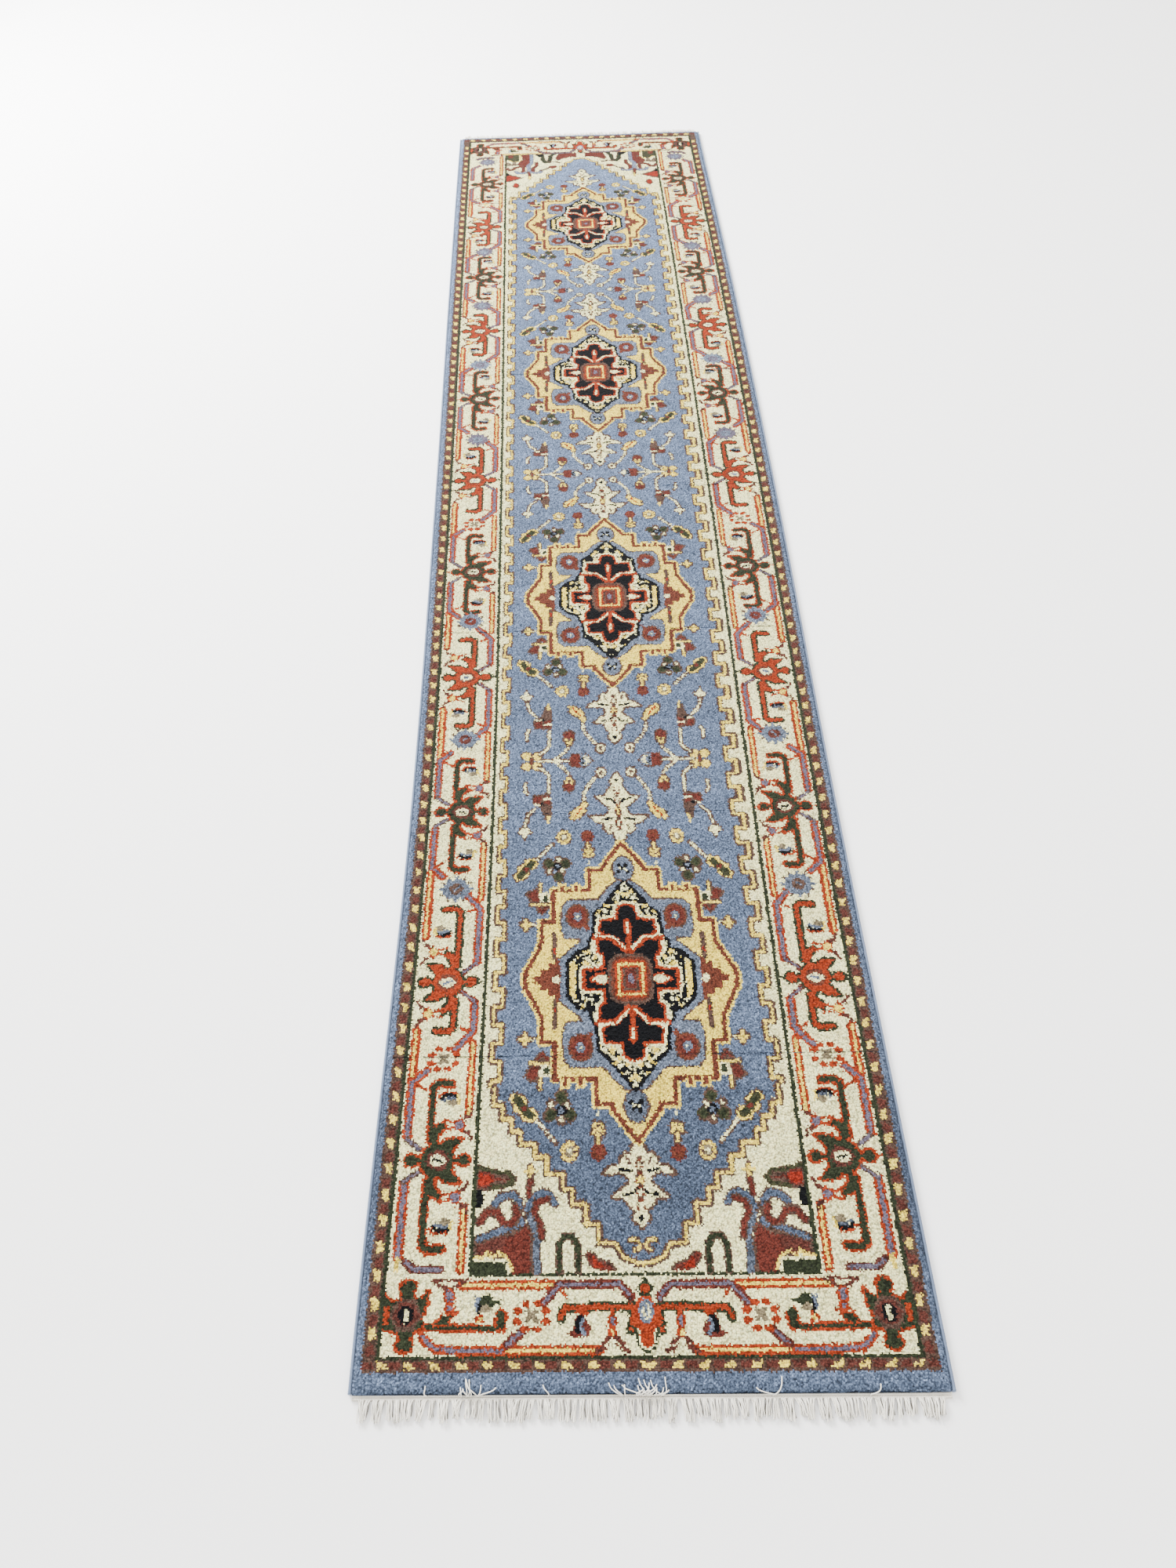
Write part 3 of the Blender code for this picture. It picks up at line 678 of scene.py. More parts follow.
def shoulder(pen):
    """Small flowers held against the medallion's shoulder."""
    pen.edged("brick", 1.4, "walnut", 1.0, (41.4, 42.6), (44, 39.4), (46, 42.4))
    pen.edged("straw", 1.5, "walnut", 0.8, (44.8, 57), (44.8, 51))
    pen.edged("straw", 1.5, "walnut", 0.8, (41, 44.4), (49.4, 44.2))
    pen.block("ivory", 40, 45.4, 45.4, 51.4)
    pen.block("green", 41, 43.6, 45.8, 49.6)
    pen.area("walnut", (44.6, 45.4), (49.4, 44.6), (53.2, 51), (49.6, 53.6), (46, 54))
    pen.area("brick", (45.2, 46.4), (48.8, 45.8), (51.6, 51), (49, 52.4), (46.6, 52.6))
    pen.line("walnut", 4.0, (52.4, 29.4), (52.4, 34.4))
    pen.line("walnut", 4.0, (50, 32), (55, 32))
    pen.line("straw", 2.4, (52.4, 29.8), (52.4, 34.2))
    pen.line("straw", 1.8, (50.4, 32), (54.6, 32))
    pen.edged("ivory", 1.0, "walnut", 0.5, (47.4, 31.2), (49, 32.6))


def sprays(pen):
    """Flowers round a medallion's tip, drawn for one quarter."""
    # four petals round a dark heart
    for c, r in ((31, 70), (34.6, 61), (40, 69.6)):
        pen.oval("walnut", c, r, 3.5, 3.7)
    for c, r in ((32.6, 64.6), (39.6, 64.6), (34.6, 72.6)):
        pen.oval("walnut", c, r, 2.4, 2.6)
    for c, r in ((30.8, 69.6), (34.8, 61.4), (39.6, 69.8)):
        pen.oval("moss", c, r, 2.7, 3.0)
        pen.oval("green", c, r, 1.4, 2.0)
    for c, r in ((32.2, 65.2), (39.6, 64.8), (34.6, 72.2)):
        pen.oval("ivory", c, r, 1.1, 1.3)
    pen.oval("ink", 34.8, 67.6, 2.6, 2.4)
    pen.oval("slate", 34.8, 67.8, 1.3, 1.2)
    # leaf
    silhouette(pen, "straw", "walnut", 0.7, (0, (45.4, 70), (47.4, 73.4), (52, 72.6), (53.4, 69.6),
               (56.6, 68), (56.4, 64.6), (59, 62.6), (57.4, 59), (53, 60), (50.4, 63), (50.6, 66),
               (47, 67)))
    pen.line("moss", 4.2, (49, 70), (52.4, 66.4), (55.4, 62))
    for k in range(3):
        pen.oval("brick" if k % 2 else "green", 49.8 + 2.2 * k, 69 - 2.6 * k, 1.3)
    pen.beads("ivory", "walnut", (45.6, 73), (41.4, 78), (37.4, 83))
    # rosette, and a round flower on an arrow stem
    pen.oval("walnut", 31, 87, 4.4, 5.2)
    for k in range(9):
        turn = 2 * math.pi * k / 9
        pen.oval("straw", 31 + 3 * math.cos(turn), 87 + 3.8 * math.sin(turn), 1.1)
    pen.oval("stone", 31, 87, 1.8, 2.5)
    pen.oval("ivory", 31, 87, 0.9, 1.7)
    pen.edged("straw", 1.4, "walnut", 1.0, (18, 83), (18, 76))
    pen.edged("straw", 3.4, "walnut", 1.0, (17, 75.4), (19, 75.4))
    pen.edged("straw", 1.2, "walnut", 0.9, (15.6, 78.4), (18, 76), (20.4, 78.4))
    pen.oval("ivory", 18, 69.6, 0.9, 1.3)
    pen.oval("brick", 18, 87.6, 3.7, 4.0)
    pen.oval("rust", 18, 87.6, 2.7, 3.0)
    pen.oval("brick", 18, 86.8, 1.6, 1.8)


def pendant(pen):
    """Ivory pendant on the axis, hanging from a medallion's tip: half of it."""
    outline = ((0, 0), (2.4, 2), (3.4, 7), (6, 6), (8.4, 9), (7.6, 12.6), (12.6, 14), (16, 18), (9, 17.4),
               (5.4, 19), (4.6, 24), (8, 27), (12, 31.6), (6.6, 31.8), (5, 36), (2.6, 40), (3.6, 43.6),
               (0, 49))
    pen.line("walnut", 2.6, *outline)
    pen.area("ivory", *outline)
    pen.line("walnut", 1.4, (5.6, 8.6), (4.4, 11.6))
    pen.line("ink", 1.5, (3.6, 16.4), (8.6, 15.6))
    pen.line("ink", 1.3, (1.6, 27), (3.4, 29.6), (7.6, 30.4))
    pen.oval("straw", 0, 21.5, 1.9, 4.6)
    pen.oval("ink", 0, 43.6, 1.2, 1.6)
    for k in range(16):
        yarn = "rust" if k % 2 else "walnut"
        pen.oval(yarn, 0.6 if k % 4 < 2 else 1.4, 8 + 2 * k, 0.8, 0.9)


def between(pen):
    """Half of the field between two medallions, from its middle row outwards."""
    pen.edged("ivory", 1.2, "walnut", 1.0, (27, 0), (45, 0))
    pen.oval("ivory", 34.7, 0, 1.4, 2.4)
    for c in (45.6, 51.8):
        pen.oval("walnut", c, 3.9, 3.4, 3.6)
        pen.oval("straw", c, 3.9, 2.6, 2.8)
    pen.block("walnut", 47.6, 49.8, 0, 3)
    pen.block("straw", 44.6, 47.6, 0.6, 4)
    pen.block("straw", 49.8, 52.8, 0.6, 4)
    pen.block("rust", 48, 49.6, 0, 2)
    pen.area("walnut", (12.4, 0), (17, 5.4), (21.6, 5.4), (26, 4.8), (28.2, 0))
    pen.area("slate", (13.6, 0), (17, 4.2), (21.6, 4.2), (21.6, 0))
    pen.area("ivory", (14.4, 0), (17.4, 3.4), (19, 3.4), (17, 0))
    pen.line("ink", 1.0, (17.6, 2.6), (20.4, 0.8))
    pen.area("brick", (21, 0), (21, 4.6), (25.4, 4.2), (27.2, 0))
    # small crowned flower and the beads to it
    pen.beads("ivory", "walnut", (33.4, 2.4), (29.6, 6.4), (27.4, 9.4))
    pen.area("walnut", (23.4, 21.4), (23.4, 15), (26, 10), (28, 10), (30.6, 15), (30.6, 21.4), (27, 23.6))
    pen.area("straw", (24.4, 16.6), (26, 12), (28, 12), (29.6, 16.6))
    pen.area("walnut", (25.8, 16.6), (26.4, 14), (27.6, 14), (28.2, 16.6))
    pen.area("brick", (24, 16.6), (30, 16.6), (29.8, 20.6), (27, 22.4), (24, 20.6))
    # leaf, its vine and the small flower by the axis
    pen.beads("ivory", "walnut", (18.6, 30), (18.6, 24), (16, 18.4), (12, 12.6))
    silhouette(pen, "straw", "walnut", 0.9, (3.0, (18.4, 31.6), (20.4, 34.6), (25.6, 41)),
               (1.8, (19, 36), (22.6, 40.4)), (1.8, (22.4, 34.6), (26, 38)))
    pen.line("orange", 1.1, (20, 34), (24.6, 40.4))
    pen.oval("walnut", 8.6, 9, 3.6, 4.4)
    pen.oval("ivory", 8.6, 9, 2.4, 3.0)
    pen.oval("walnut", 8.6, 9, 1.2, 1.6)
    # rust flower on its stem
    pen.edged("ivory", 1.1, "walnut", 1.0, (44, 5), (40.4, 8), (38.6, 11), (38.6, 23))
    pen.area("walnut", (37.4, 23.4), (43, 24), (47.6, 24.6), (48.4, 30.4), (43.4, 34), (41.6, 42.4),
             (38, 42.4), (36.8, 33))
    pen.area("brick", (38, 24.6), (42, 26), (41.4, 30.4), (38.2, 31.6))
    pen.area("brick", (42.6, 25.4), (46.8, 25.4), (47.4, 29.8), (43.4, 30.6))
    pen.line("ivory", 1.3, (37.8, 27.6), (41.6, 27.6))
    pen.line("ivory", 1.3, (43.4, 31.4), (46.4, 31.4))
    pen.oval("ink", 42.4, 31.2, 1.0)
    pen.line("straw", 1.6, (39, 40), (39.4, 44))
    # ivory flower at the side
    pen.edged("ivory", 1.1, "walnut", 0.9, (46.4, 34), (50.4, 38.4), (52.4, 46))
    silhouette(pen, "ivory", "walnut", 0.8, (0, (48.6, 50.6), (51, 47.6), (54.4, 47.6), (56.2, 50.6),
               (53.4, 52), (52.8, 55.4), (51.4, 52)))
    pen.edged("ivory", 1.1, "walnut", 0.9, (51.8, 16), (52.2, 21), (50.6, 24))


def draw_field():
    """Blue field with its edge, its corners, the medallions and the flowers round them."""
    page = Pen()
    page.block("indigo", 0, 63, 46, 1108)
    draw_side_edge()
    draw_near_corner()
    draw_far_corner()
    for centre, stretch in GAPS:
        for end in (-1, 1):
            between(Pen(0, centre, 1, end * stretch))
    for row, scale, pendants in MEDALLIONS:
        for end, size in zip((-1, 1), pendants):
            sprays(Pen(0, row, 1, end * scale))
            shoulder(Pen(0, row, 1, end * scale))
            pendant(Pen(0, row + end * PENDANT_ROW * scale, 1, end * size))
            quarter(Pen(0, row, 1, end * scale, True))
        Pen(0, row).oval("ivory", 37.4, 0, 1.9, 2.3)


def draw_design():
    """Draws the whole design on the loom, from the outside inwards."""
    Pen().block("indigo", 0, KNOTS_ACROSS / 2, 0, KNOT_ROWS)
    draw_guard()
    draw_border_ground()
    draw_side_border()
    draw_end_border(Pen(0, 0))
    draw_end_border(Pen(0, FAR_END_ROW, 1, -1))
    draw_field()


draw_design()

# ---- the colours of the tufts ----
# rows where the weaver's middle line strays from the rug's, and by how many columns
AXIS_DRIFT = ((190, 0), (300, -3), (480, -1), (600, -2.5), (750, -1), (810, -1.5), (900, 0))
DRIFT_END = 71               # column where the drift has died away
DRIFT_FADE = 8               # columns that it takes to do so
DEEP_LOT = (44, 129)         # first and last row of a deeper blue near the near end


def linear(rgb):
    """Linear colour from display values 0 to 255."""
    share = np.asarray(rgb, float) / 255
    return np.where(share <= 0.04045, share / 12.92, ((share + 0.055) / 1.055) ** 2.4)


YARN_COLOURS = linear(list(YARNS.values()))


def yarn_colours(u, v, noise, slip, mottle):
    """Linear colours of tufts at u, v, each tied up to slip knots out of place."""
    column = u / KNOT_WIDTH + noise.uniform(-slip, slip, u.shape)
    row = (v + HALF_LENGTH) / KNOT_LENGTH + noise.uniform(-slip, slip, u.shape)
    drift = np.interp(row, *zip(*AXIS_DRIFT))
    column = np.abs(column - drift * np.clip((DRIFT_END - np.abs(column)) / DRIFT_FADE, 0.0, 1.0))
    i = np.clip((row * CELLS).astype(int), 0, LOOM_ROWS - 1)
    k = np.clip((column * CELLS).astype(int), 0, LOOM_COLUMNS - 1)
    yarn = loom[i, k]
    colour = YARN_COLOURS[yarn].copy()
    # dye lots: rows of one dipping share their depth of blue
    dye_lots_and_sheen = 0.06 * np.sin(row / 23.0 + 0.8) + 0.05 * np.sin(row / 3.1 + 2 * np.sin(row / 17.0))
    first, last = DEEP_LOT
    dye_lots_and_sheen -= 0.26 * np.clip((row - first) / 3, 0.0, 1.0) * np.clip((last - row) / 3, 0.0, 1.0)
    # painted sheen: the blue grows paler towards the far end
    dye_lots_and_sheen += 0.50 * np.clip(row / KNOT_ROWS, 0.0, 1.0) ** 1.5
    blue = np.isin(yarn, [YARN_NAMES.index(name) for name in ("indigo", "slate")])
    colour[blue] *= (1.0 + dye_lots_and_sheen[blue])[:, None]
    shade = np.exp(noise.normal(0.0, mottle, u.shape))
    shade[blue] *= np.exp(noise.normal(0.0, 0.30, blue.sum()))
    return np.clip(colour * shade[..., None], 0.0, 1.0)


# ---- materials ----
def material(name, roughness):
    """New material, with its node tree and its shader."""
    made = bpy.data.materials.new(name)
    made.use_nodes = True
    tree = made.node_tree
    shader = tree.nodes["Principled BSDF"]
    shader.inputs["Roughness"].default_value = roughness
    shader.inputs["Specular IOR Level"].default_value = 0.06
    return made, tree, shader


def node(tree, kind, **values):
    """Adds a node and sets its inputs, or its settings where it has no such input."""
    made = tree.nodes.new(kind)
    for name, value in values.items():
        if name in made.inputs:
            made.inputs[name].default_value = value
        else:
            setattr(made, name, value)
    return made


def mix(tree, blend, factor, a, b):
    """Colour from a Mix node, whose factor, a and b are each a value or a socket."""
    made = tree.nodes.new("ShaderNodeMix")
    made.data_type = "RGBA"
    made.blend_type = blend
    if isinstance(factor, float):
        made.inputs[0].default_value = factor
    else:
        tree.links.new(factor, made.inputs[0])
    for socket, value in ((made.inputs[6], a), (made.inputs[7], b)):
        if isinstance(value, tuple):
            socket.default_value = value
        else:
            tree.links.new(value, socket)
    return made.outputs[2]


def ramp(tree, source, stops):
    """Colour from a Color Ramp node with the given places and colours."""
    made = tree.nodes.new("ShaderNodeValToRGB")
    while len(made.color_ramp.elements) < len(stops):
        made.color_ramp.elements.new(0.5)
    for element, (place, colour) in zip(made.color_ramp.elements, stops):
        element.position = place
        element.color = colour
    tree.links.new(source, made.inputs["Fac"])
    return made.outputs["Color"]


def grey(value):
    """Grey as a colour with alpha."""
    return (value, value, value, 1.0)


def make_wool_pile():
    """Cut wool pile: each tuft's yarn comes from the mesh, with painted highlights on the tufts' middles and
    painted shade in the gaps between them.
    """
    made, tree, shader = material("wool_pile", 0.94)
    link = tree.links.new
    yarn = node(tree, "ShaderNodeAttribute", attribute_name="yarn")
    place = node(tree, "ShaderNodeTexCoord").outputs["Object"]
    tufts = node(tree, "ShaderNodeTexVoronoi", Scale=350.0, Randomness=0.9)
    link(place, tufts.inputs["Vector"])
    nap = node(tree, "ShaderNodeTexNoise", Scale=26.0, Detail=4.0, Roughness=0.6)
    link(place, nap.inputs["Vector"])
    fibre = node(tree, "ShaderNodeTexNoise", Scale=1100.0, Detail=2.0)
    link(place, fibre.inputs["Vector"])
    # painted light and shade: each tuft lighter in its middle and much darker in the gaps between tufts
    tip = ramp(tree, tufts.outputs["Distance"], ((0.0, grey(1.2)), (0.4, grey(1.0)), (0.8, grey(0.34))))
    worn = ramp(tree, nap.outputs["Fac"], ((0.3, grey(0.90)), (0.7, grey(1.08))))
    hair = ramp(tree, fibre.outputs["Fac"], ((0.3, grey(0.78)), (0.7, grey(1.14))))
    colour = mix(tree, "MULTIPLY", 1.0, yarn.outputs["Color"], tip)
    colour = mix(tree, "MULTIPLY", 1.0, colour, worn)
    colour = mix(tree, "MULTIPLY", 1.0, colour, hair)
    link(colour, shader.inputs["Base Color"])
    shader.inputs["Sheen Weight"].default_value = 0.03
    shader.inputs["Sheen Roughness"].default_value = 0.5
    height = node(tree, "ShaderNodeMath", operation="MULTIPLY_ADD")
    link(tufts.outputs["Distance"], height.inputs[0])
    height.inputs[1].default_value = -1.0
    link(fibre.outputs["Fac"], height.inputs[2])
    bump = node(tree, "ShaderNodeBump", Strength=1.0, Distance=0.0022)
    link(height.outputs[0], bump.inputs["Height"])
    link(bump.outputs["Normal"], shader.inputs["Normal"])
    return made


def make_woven_back():
    """Underside: the knots' backs in rows, on cotton warps."""
    made, tree, shader = material("knotted_back", 0.9)
    link = tree.links.new
    yarn = node(tree, "ShaderNodeAttribute", attribute_name="yarn")
    place = node(tree, "ShaderNodeTexCoord").outputs["Object"]
    rows = node(tree, "ShaderNodeTexWave", Scale=100.0, Distortion=1.2, bands_direction="Y")
    rows.inputs["Detail Scale"].default_value = 2.0
    link(place, rows.inputs["Vector"])
    knots = node(tree, "ShaderNodeTexVoronoi", Scale=520.0)
    link(place, knots.inputs["Vector"])
    wefts = ramp(tree, rows.outputs["Fac"], ((0.15, grey(0.72)), (0.5, grey(1.0))))
    grain = ramp(tree, knots.outputs["Distance"], ((0.0, grey(1.1)), (1.0, grey(0.6))))
    colour = mix(tree, "MULTIPLY", 1.0, yarn.outputs["Color"], wefts)
    colour = mix(tree, "MULTIPLY", 1.0, colour, grain)
    link(colour, shader.inputs["Base Color"])
    bump = node(tree, "ShaderNodeBump", Strength=0.5, Distance=0.0008)
    link(rows.outputs["Fac"], bump.inputs["Height"])
    link(bump.outputs["Normal"], shader.inputs["Normal"])
    return made


def make_yarn(name, colour, groove_shade, scale, direction="X", floor_shade=None):
    """Plied yarn seen close: fine twist with painted shade in its grooves, and a little variation of colour.

    The last argument is painted shade: how dark the yarn is painted where it lies lowest, on the floor.
    """
    made, tree, shader = material(name, 0.9)
    link = tree.links.new
    place = node(tree, "ShaderNodeTexCoord").outputs["Object"]
    twist = node(tree, "ShaderNodeTexWave", Scale=scale, Distortion=2.5, bands_direction=direction)
    link(place, twist.inputs["Vector"])
    soil = node(tree, "ShaderNodeTexNoise", Scale=60.0, Detail=4.0)
    link(place, soil.inputs["Vector"])
    # painted shade: the grooves of the twist take the darker colour
    ply = ramp(tree, twist.outputs["Fac"], ((0.05, (*linear(groove_shade), 1.0)), (0.45, (*linear(colour), 1.0))))
    worn = ramp(tree, soil.outputs["Fac"], ((0.3, grey(0.88)), (0.6, grey(1.04))))
    yarn = mix(tree, "MULTIPLY", 1.0, ply, worn)
    if floor_shade:
        # painted shade: the lower the strand lies, the darker it is painted, down to the floor
        split = node(tree, "ShaderNodeSeparateXYZ")
        link(place, split.inputs["Vector"])
        height = node(tree, "ShaderNodeMapRange")
        height.inputs["From Min"].default_value = FRINGE_LOW
        height.inputs["From Max"].default_value = FRINGE_HIGH
        link(split.outputs["Z"], height.inputs["Value"])
        depth = ramp(tree, height.outputs["Result"], ((0.0, grey(floor_shade)), (1.0, grey(1.0))))
        yarn = mix(tree, "MULTIPLY", 1.0, yarn, depth)
    link(yarn, shader.inputs["Base Color"])
    shader.inputs["Sheen Weight"].default_value = 0.15
    bump = node(tree, "ShaderNodeBump", Strength=0.5, Distance=0.0005)
    link(twist.outputs["Fac"], bump.inputs["Height"])
    link(bump.outputs["Normal"], shader.inputs["Normal"])
    return made


WOOL_PILE = make_wool_pile()
KNOTTED_BACK = make_woven_back()
COTTON_COLOUR = (252, 249, 240)
# fringe cotton, with painted shade on the strands that lie lowest
COTTON = make_yarn("fringe_cotton", COTTON_COLOUR, (196, 188, 168), 520.0, "DIAGONAL", 0.26)
WEB_COTTON = make_yarn("web_cotton", (252, 248, 238), (206, 198, 180), 420.0)
OVERCAST = make_yarn("overcast_wool", (112, 126, 150), (74, 86, 108), 420.0, "Y")


# ---- meshes ----
def solid(name, points, faces, made, smooth=True):
    """Object of points and faces, in one material."""
    data = bpy.data.meshes.new(name)
    data.from_pydata(points, [], faces)
    data.materials.append(made)
    if smooth:
        data.shade_smooth()
    else:
        data.shade_flat()
    data.validate()
    thing = bpy.data.objects.new(name, data)
    bpy.context.scene.collection.objects.link(thing)
    return thing


def cell_middles(grid):
    """Middle of each cell of a grid of values, from two of its corners."""
    return 0.5 * (grid[1:, 1:] + grid[:-1, :-1])


def grid_faces(rows, columns, flip=False):
    """Quads of a grid of points stored row by row."""
    a = (np.arange(rows - 1)[:, None] * columns + np.arange(columns - 1)).reshape(-1)
    quads = np.stack([a, a + 1, a + columns + 1, a + columns], axis=1)
    return quads[:, ::-1] if flip else quads


def slab_mesh(name, x, y, top, bottom, made, colours, rim, facing):
    """Closed slab under or over a grid of points, with a colour to each cell of its main face.

    rim is the colour of its edges. facing is 1 when the detailed face looks up and -1 when it
    looks down.
    """
    rows, columns = x.shape
    detail = top if facing > 0 else bottom
    plain = bottom if facing > 0 else top
    count = rows * columns
    points = np.stack([x, y, detail], axis=-1).reshape(-1, 3)
    left = np.stack([x[:, 0], y[:, 0], plain[:, 0]], axis=1)
    right = np.stack([x[:, -1], y[:, -1], plain[:, -1]], axis=1)
    middle = [[0.5 * (x[k, 0] + x[k, -1]), y[k, 0], plain[k, 0]] for k in (0, -1)]
    points = np.concatenate([points, left, right, middle])
    faces = grid_faces(rows, columns, facing < 0).tolist()
    main = len(faces)
    lefts = count + np.arange(rows)
    rights = count + rows + np.arange(rows)
    near_middle, far_middle = count + 2 * rows, count + 2 * rows + 1
    extra = []
    for k in range(rows - 1):
        a, b = k * columns, (k + 1) * columns
        extra.append((a, b, lefts[k + 1], lefts[k]))
        a, b = a + columns - 1, b + columns - 1
        extra.append((b, a, rights[k], rights[k + 1]))
        extra.append((lefts[k], lefts[k + 1], rights[k + 1], rights[k]))
    # the plain face's first and last strips also meet the middle points of the ends
    extra[2] = (lefts[0], lefts[1], rights[1], rights[0], near_middle)
    last = (rows - 2) * 3 + 2
    extra[last] = (lefts[-2], lefts[-1], far_middle, rights[-1], rights[-2])
    for k in range(columns - 1):
        extra.append((near_middle, k + 1, k))
        far = (rows - 1) * columns + k
        extra.append((far_middle, far, far + 1))
    extra.append((near_middle, 0, lefts[0]))
    extra.append((near_middle, rights[0], columns - 1))
    extra.append((far_middle, lefts[-1], (rows - 1) * columns))
    extra.append((far_middle, rows * columns - 1, rights[-1]))
    if facing < 0:
        extra = [face[::-1] for face in extra]
    faces += [tuple(int(i) for i in face) for face in extra]
    data = bpy.data.meshes.new(name)
    data.from_pydata(points.tolist(), [], faces)
    data.materials.append(made)
    data.shade_smooth()
    paint = data.attributes.new("yarn", "FLOAT_COLOR", "FACE")
    shade = np.ones((len(faces), 4))
    shade[:main, :3] = colours.reshape(-1, 3)
    shade[main:, :3] = rim
    paint.data.foreach_set("color", shade.ravel())
    add_flat_map(data, points, main)
    thing = bpy.data.objects.new(name, data)
    bpy.context.scene.collection.objects.link(thing)
    return thing


def add_flat_map(data, points, main):
    """Map that lays the main face over nearly the whole image and the rest along a thin strip."""
    corners = np.empty(len(data.loops), int)
    data.loops.foreach_get("vertex_index", corners)
    starts = np.empty(len(data.polygons), int)
    data.polygons.foreach_get("loop_start", starts)
    split = starts[main] if main < len(starts) else len(corners)
    low, high = points.min(0), points.max(0)
    share = (points[corners] - low) / np.maximum(high - low, 1e-6)
    flat = np.stack([0.004 + 0.992 * share[:, 0], 0.024 + 0.972 * share[:, 1]], axis=1)
    flat[split:, 0] = 0.004 + 0.992 * share[split:, 0]
    flat[split:, 1] = 0.002 + 0.012 * share[split:, 1]
    layer = data.uv_layers.new(name="OFBake")
    layer.data.foreach_set("uv", flat.ravel())


# ---- pile ----
def pile_heights(u, v, noise):
    """Height of the pile's surface, soft at the sides and ends, with uneven tufts."""
    side = np.clip((PILE_HALF - np.abs(u)) / 0.006, 0.0, 1.0)
    end = np.clip((HALF_LENGTH - np.abs(v)) / 0.009, 0.0, 1.0)
    rounded = 1.0 - 0.40 * (1.0 - side) ** 2 - 0.62 * (1.0 - end) ** 2
    trodden = 0.00030 * np.sin(9.0 * v + 3.0 * np.sin(5.0 * u))
    trodden = trodden + 0.00022 * np.sin(23.0 * u + 4.0 * np.cos(3.1 * v))
    height = PILE_BASE + (PILE_TOP - PILE_BASE) * rounded
    return height + trodden * rounded + noise.normal(0.0, 0.0006, u.shape)


def make_pile():
    """Wool pile in lengths, each a closed slab with a colour to each tuft."""
    noise = np.random.default_rng(11)
    u1 = np.linspace(-PILE_HALF, PILE_HALF, TUFTS_ACROSS + 1)
    v1 = np.linspace(-HALF_LENGTH, HALF_LENGTH, TUFTS_ALONG + 1)
    v, u = np.meshgrid(v1, u1, indexing="ij")
    colours = yarn_colours(cell_middles(u), cell_middles(v), noise, 0.42, 0.13)
    top = pile_heights(u, v, noise)
    x = lay(u, v) + noise.uniform(-0.00032, 0.00032, u.shape)
    y = v + noise.uniform(-0.00032, 0.00032, u.shape)
    y[0] = -HALF_LENGTH + noise.uniform(-0.0010, 0.0004, u1.shape)
    y[-1] = HALF_LENGTH + noise.uniform(-0.0004, 0.0010, u1.shape)
    bottom = np.full(u.shape, PILE_BASE)
    step = TUFTS_ALONG // PANELS
    pieces = []
    for k in range(PANELS):
        low, high = k * step, (k + 1) * step
        part = slice(low, high + 1)
        name = "pile_%d" % (k + 1)
        pieces.append(slab_mesh(name, x[part], y[part], top[part], bottom[part], WOOL_PILE,
                                colours[low:high], YARN_COLOURS[0], 1))
    return pieces


def make_ground():
    """Cotton ground in four lengths, with the knots' backs on its underside."""
    noise = np.random.default_rng(12)
    across, along = 158, 192
    pieces = []
    for k in range(SHEETS):
        v0 = -HALF_LENGTH + k * SHEET_LENGTH
        v1 = np.linspace(v0, v0 + SHEET_LENGTH, along + 1)
        u1 = np.linspace(-PILE_HALF, PILE_HALF, across + 1)
        v, u = np.meshgrid(v1, u1, indexing="ij")
        colours = yarn_colours(cell_middles(u), cell_middles(v), noise, 0.5, 0.16)
        colours = 0.86 * colours + 0.05
        bottom = 0.00025 + noise.uniform(-0.0002, 0.0002, u.shape)
        top = np.full(u.shape, GROUND)
        pieces.append(slab_mesh("ground_%d" % (k + 1), lay(u, v), v, top, bottom, KNOTTED_BACK, colours,
                                linear(COTTON_COLOUR), -1))
    return pieces


# ---- sides ----
def make_selvedge(k):
    """Both sides of one length: wool wrapped over a cotton core, stitch by stitch."""
    pitch = 0.0026
    sides = 10
    v0 = -HALF_LENGTH + k * SHEET_LENGTH
    stitches = int(round(SHEET_LENGTH / pitch))
    rings = 2 * stitches + 1
    v = np.linspace(v0, v0 + SHEET_LENGTH, rings)
    noise = np.random.default_rng(20 + k)
    points, faces = [], []
    for side in (-1, 1):
        start = len(points)
        swell = np.where(np.arange(rings) % 2, 1.0, 0.86) * (1 + noise.normal(0.0, 0.02, rings))
        for i in range(rings):
            for j in range(sides):
                turn = 2 * math.pi * j / sides
                u = side * (HALF_WIDTH - SELVEDGE_WIDTH / 2)
                u += swell[i] * SELVEDGE_WIDTH * 0.52 * math.cos(turn)
                along = v[i] + 0.0012 * math.sin(turn) * side
                if i in (0, rings - 1):
                    along = v[i]
                height = SELVEDGE_HEIGHT / 2 + swell[i] * SELVEDGE_HEIGHT * 0.5 * math.sin(turn)
                points.append((float(lay(u, np.array(v[i]))), along, max(height, 0.0)))
        for i in range(rings - 1):
            for j in range(sides):
                a = start + i * sides + j
                b = start + i * sides + (j + 1) % sides
                faces.append((a, b, b + sides, a + sides))
        faces.append(tuple(start + j for j in reversed(range(sides))))
        faces.append(tuple(start + (rings - 1) * sides + j for j in range(sides)))
    return solid("selvedges_%d" % (k + 1), points, faces, OVERCAST)


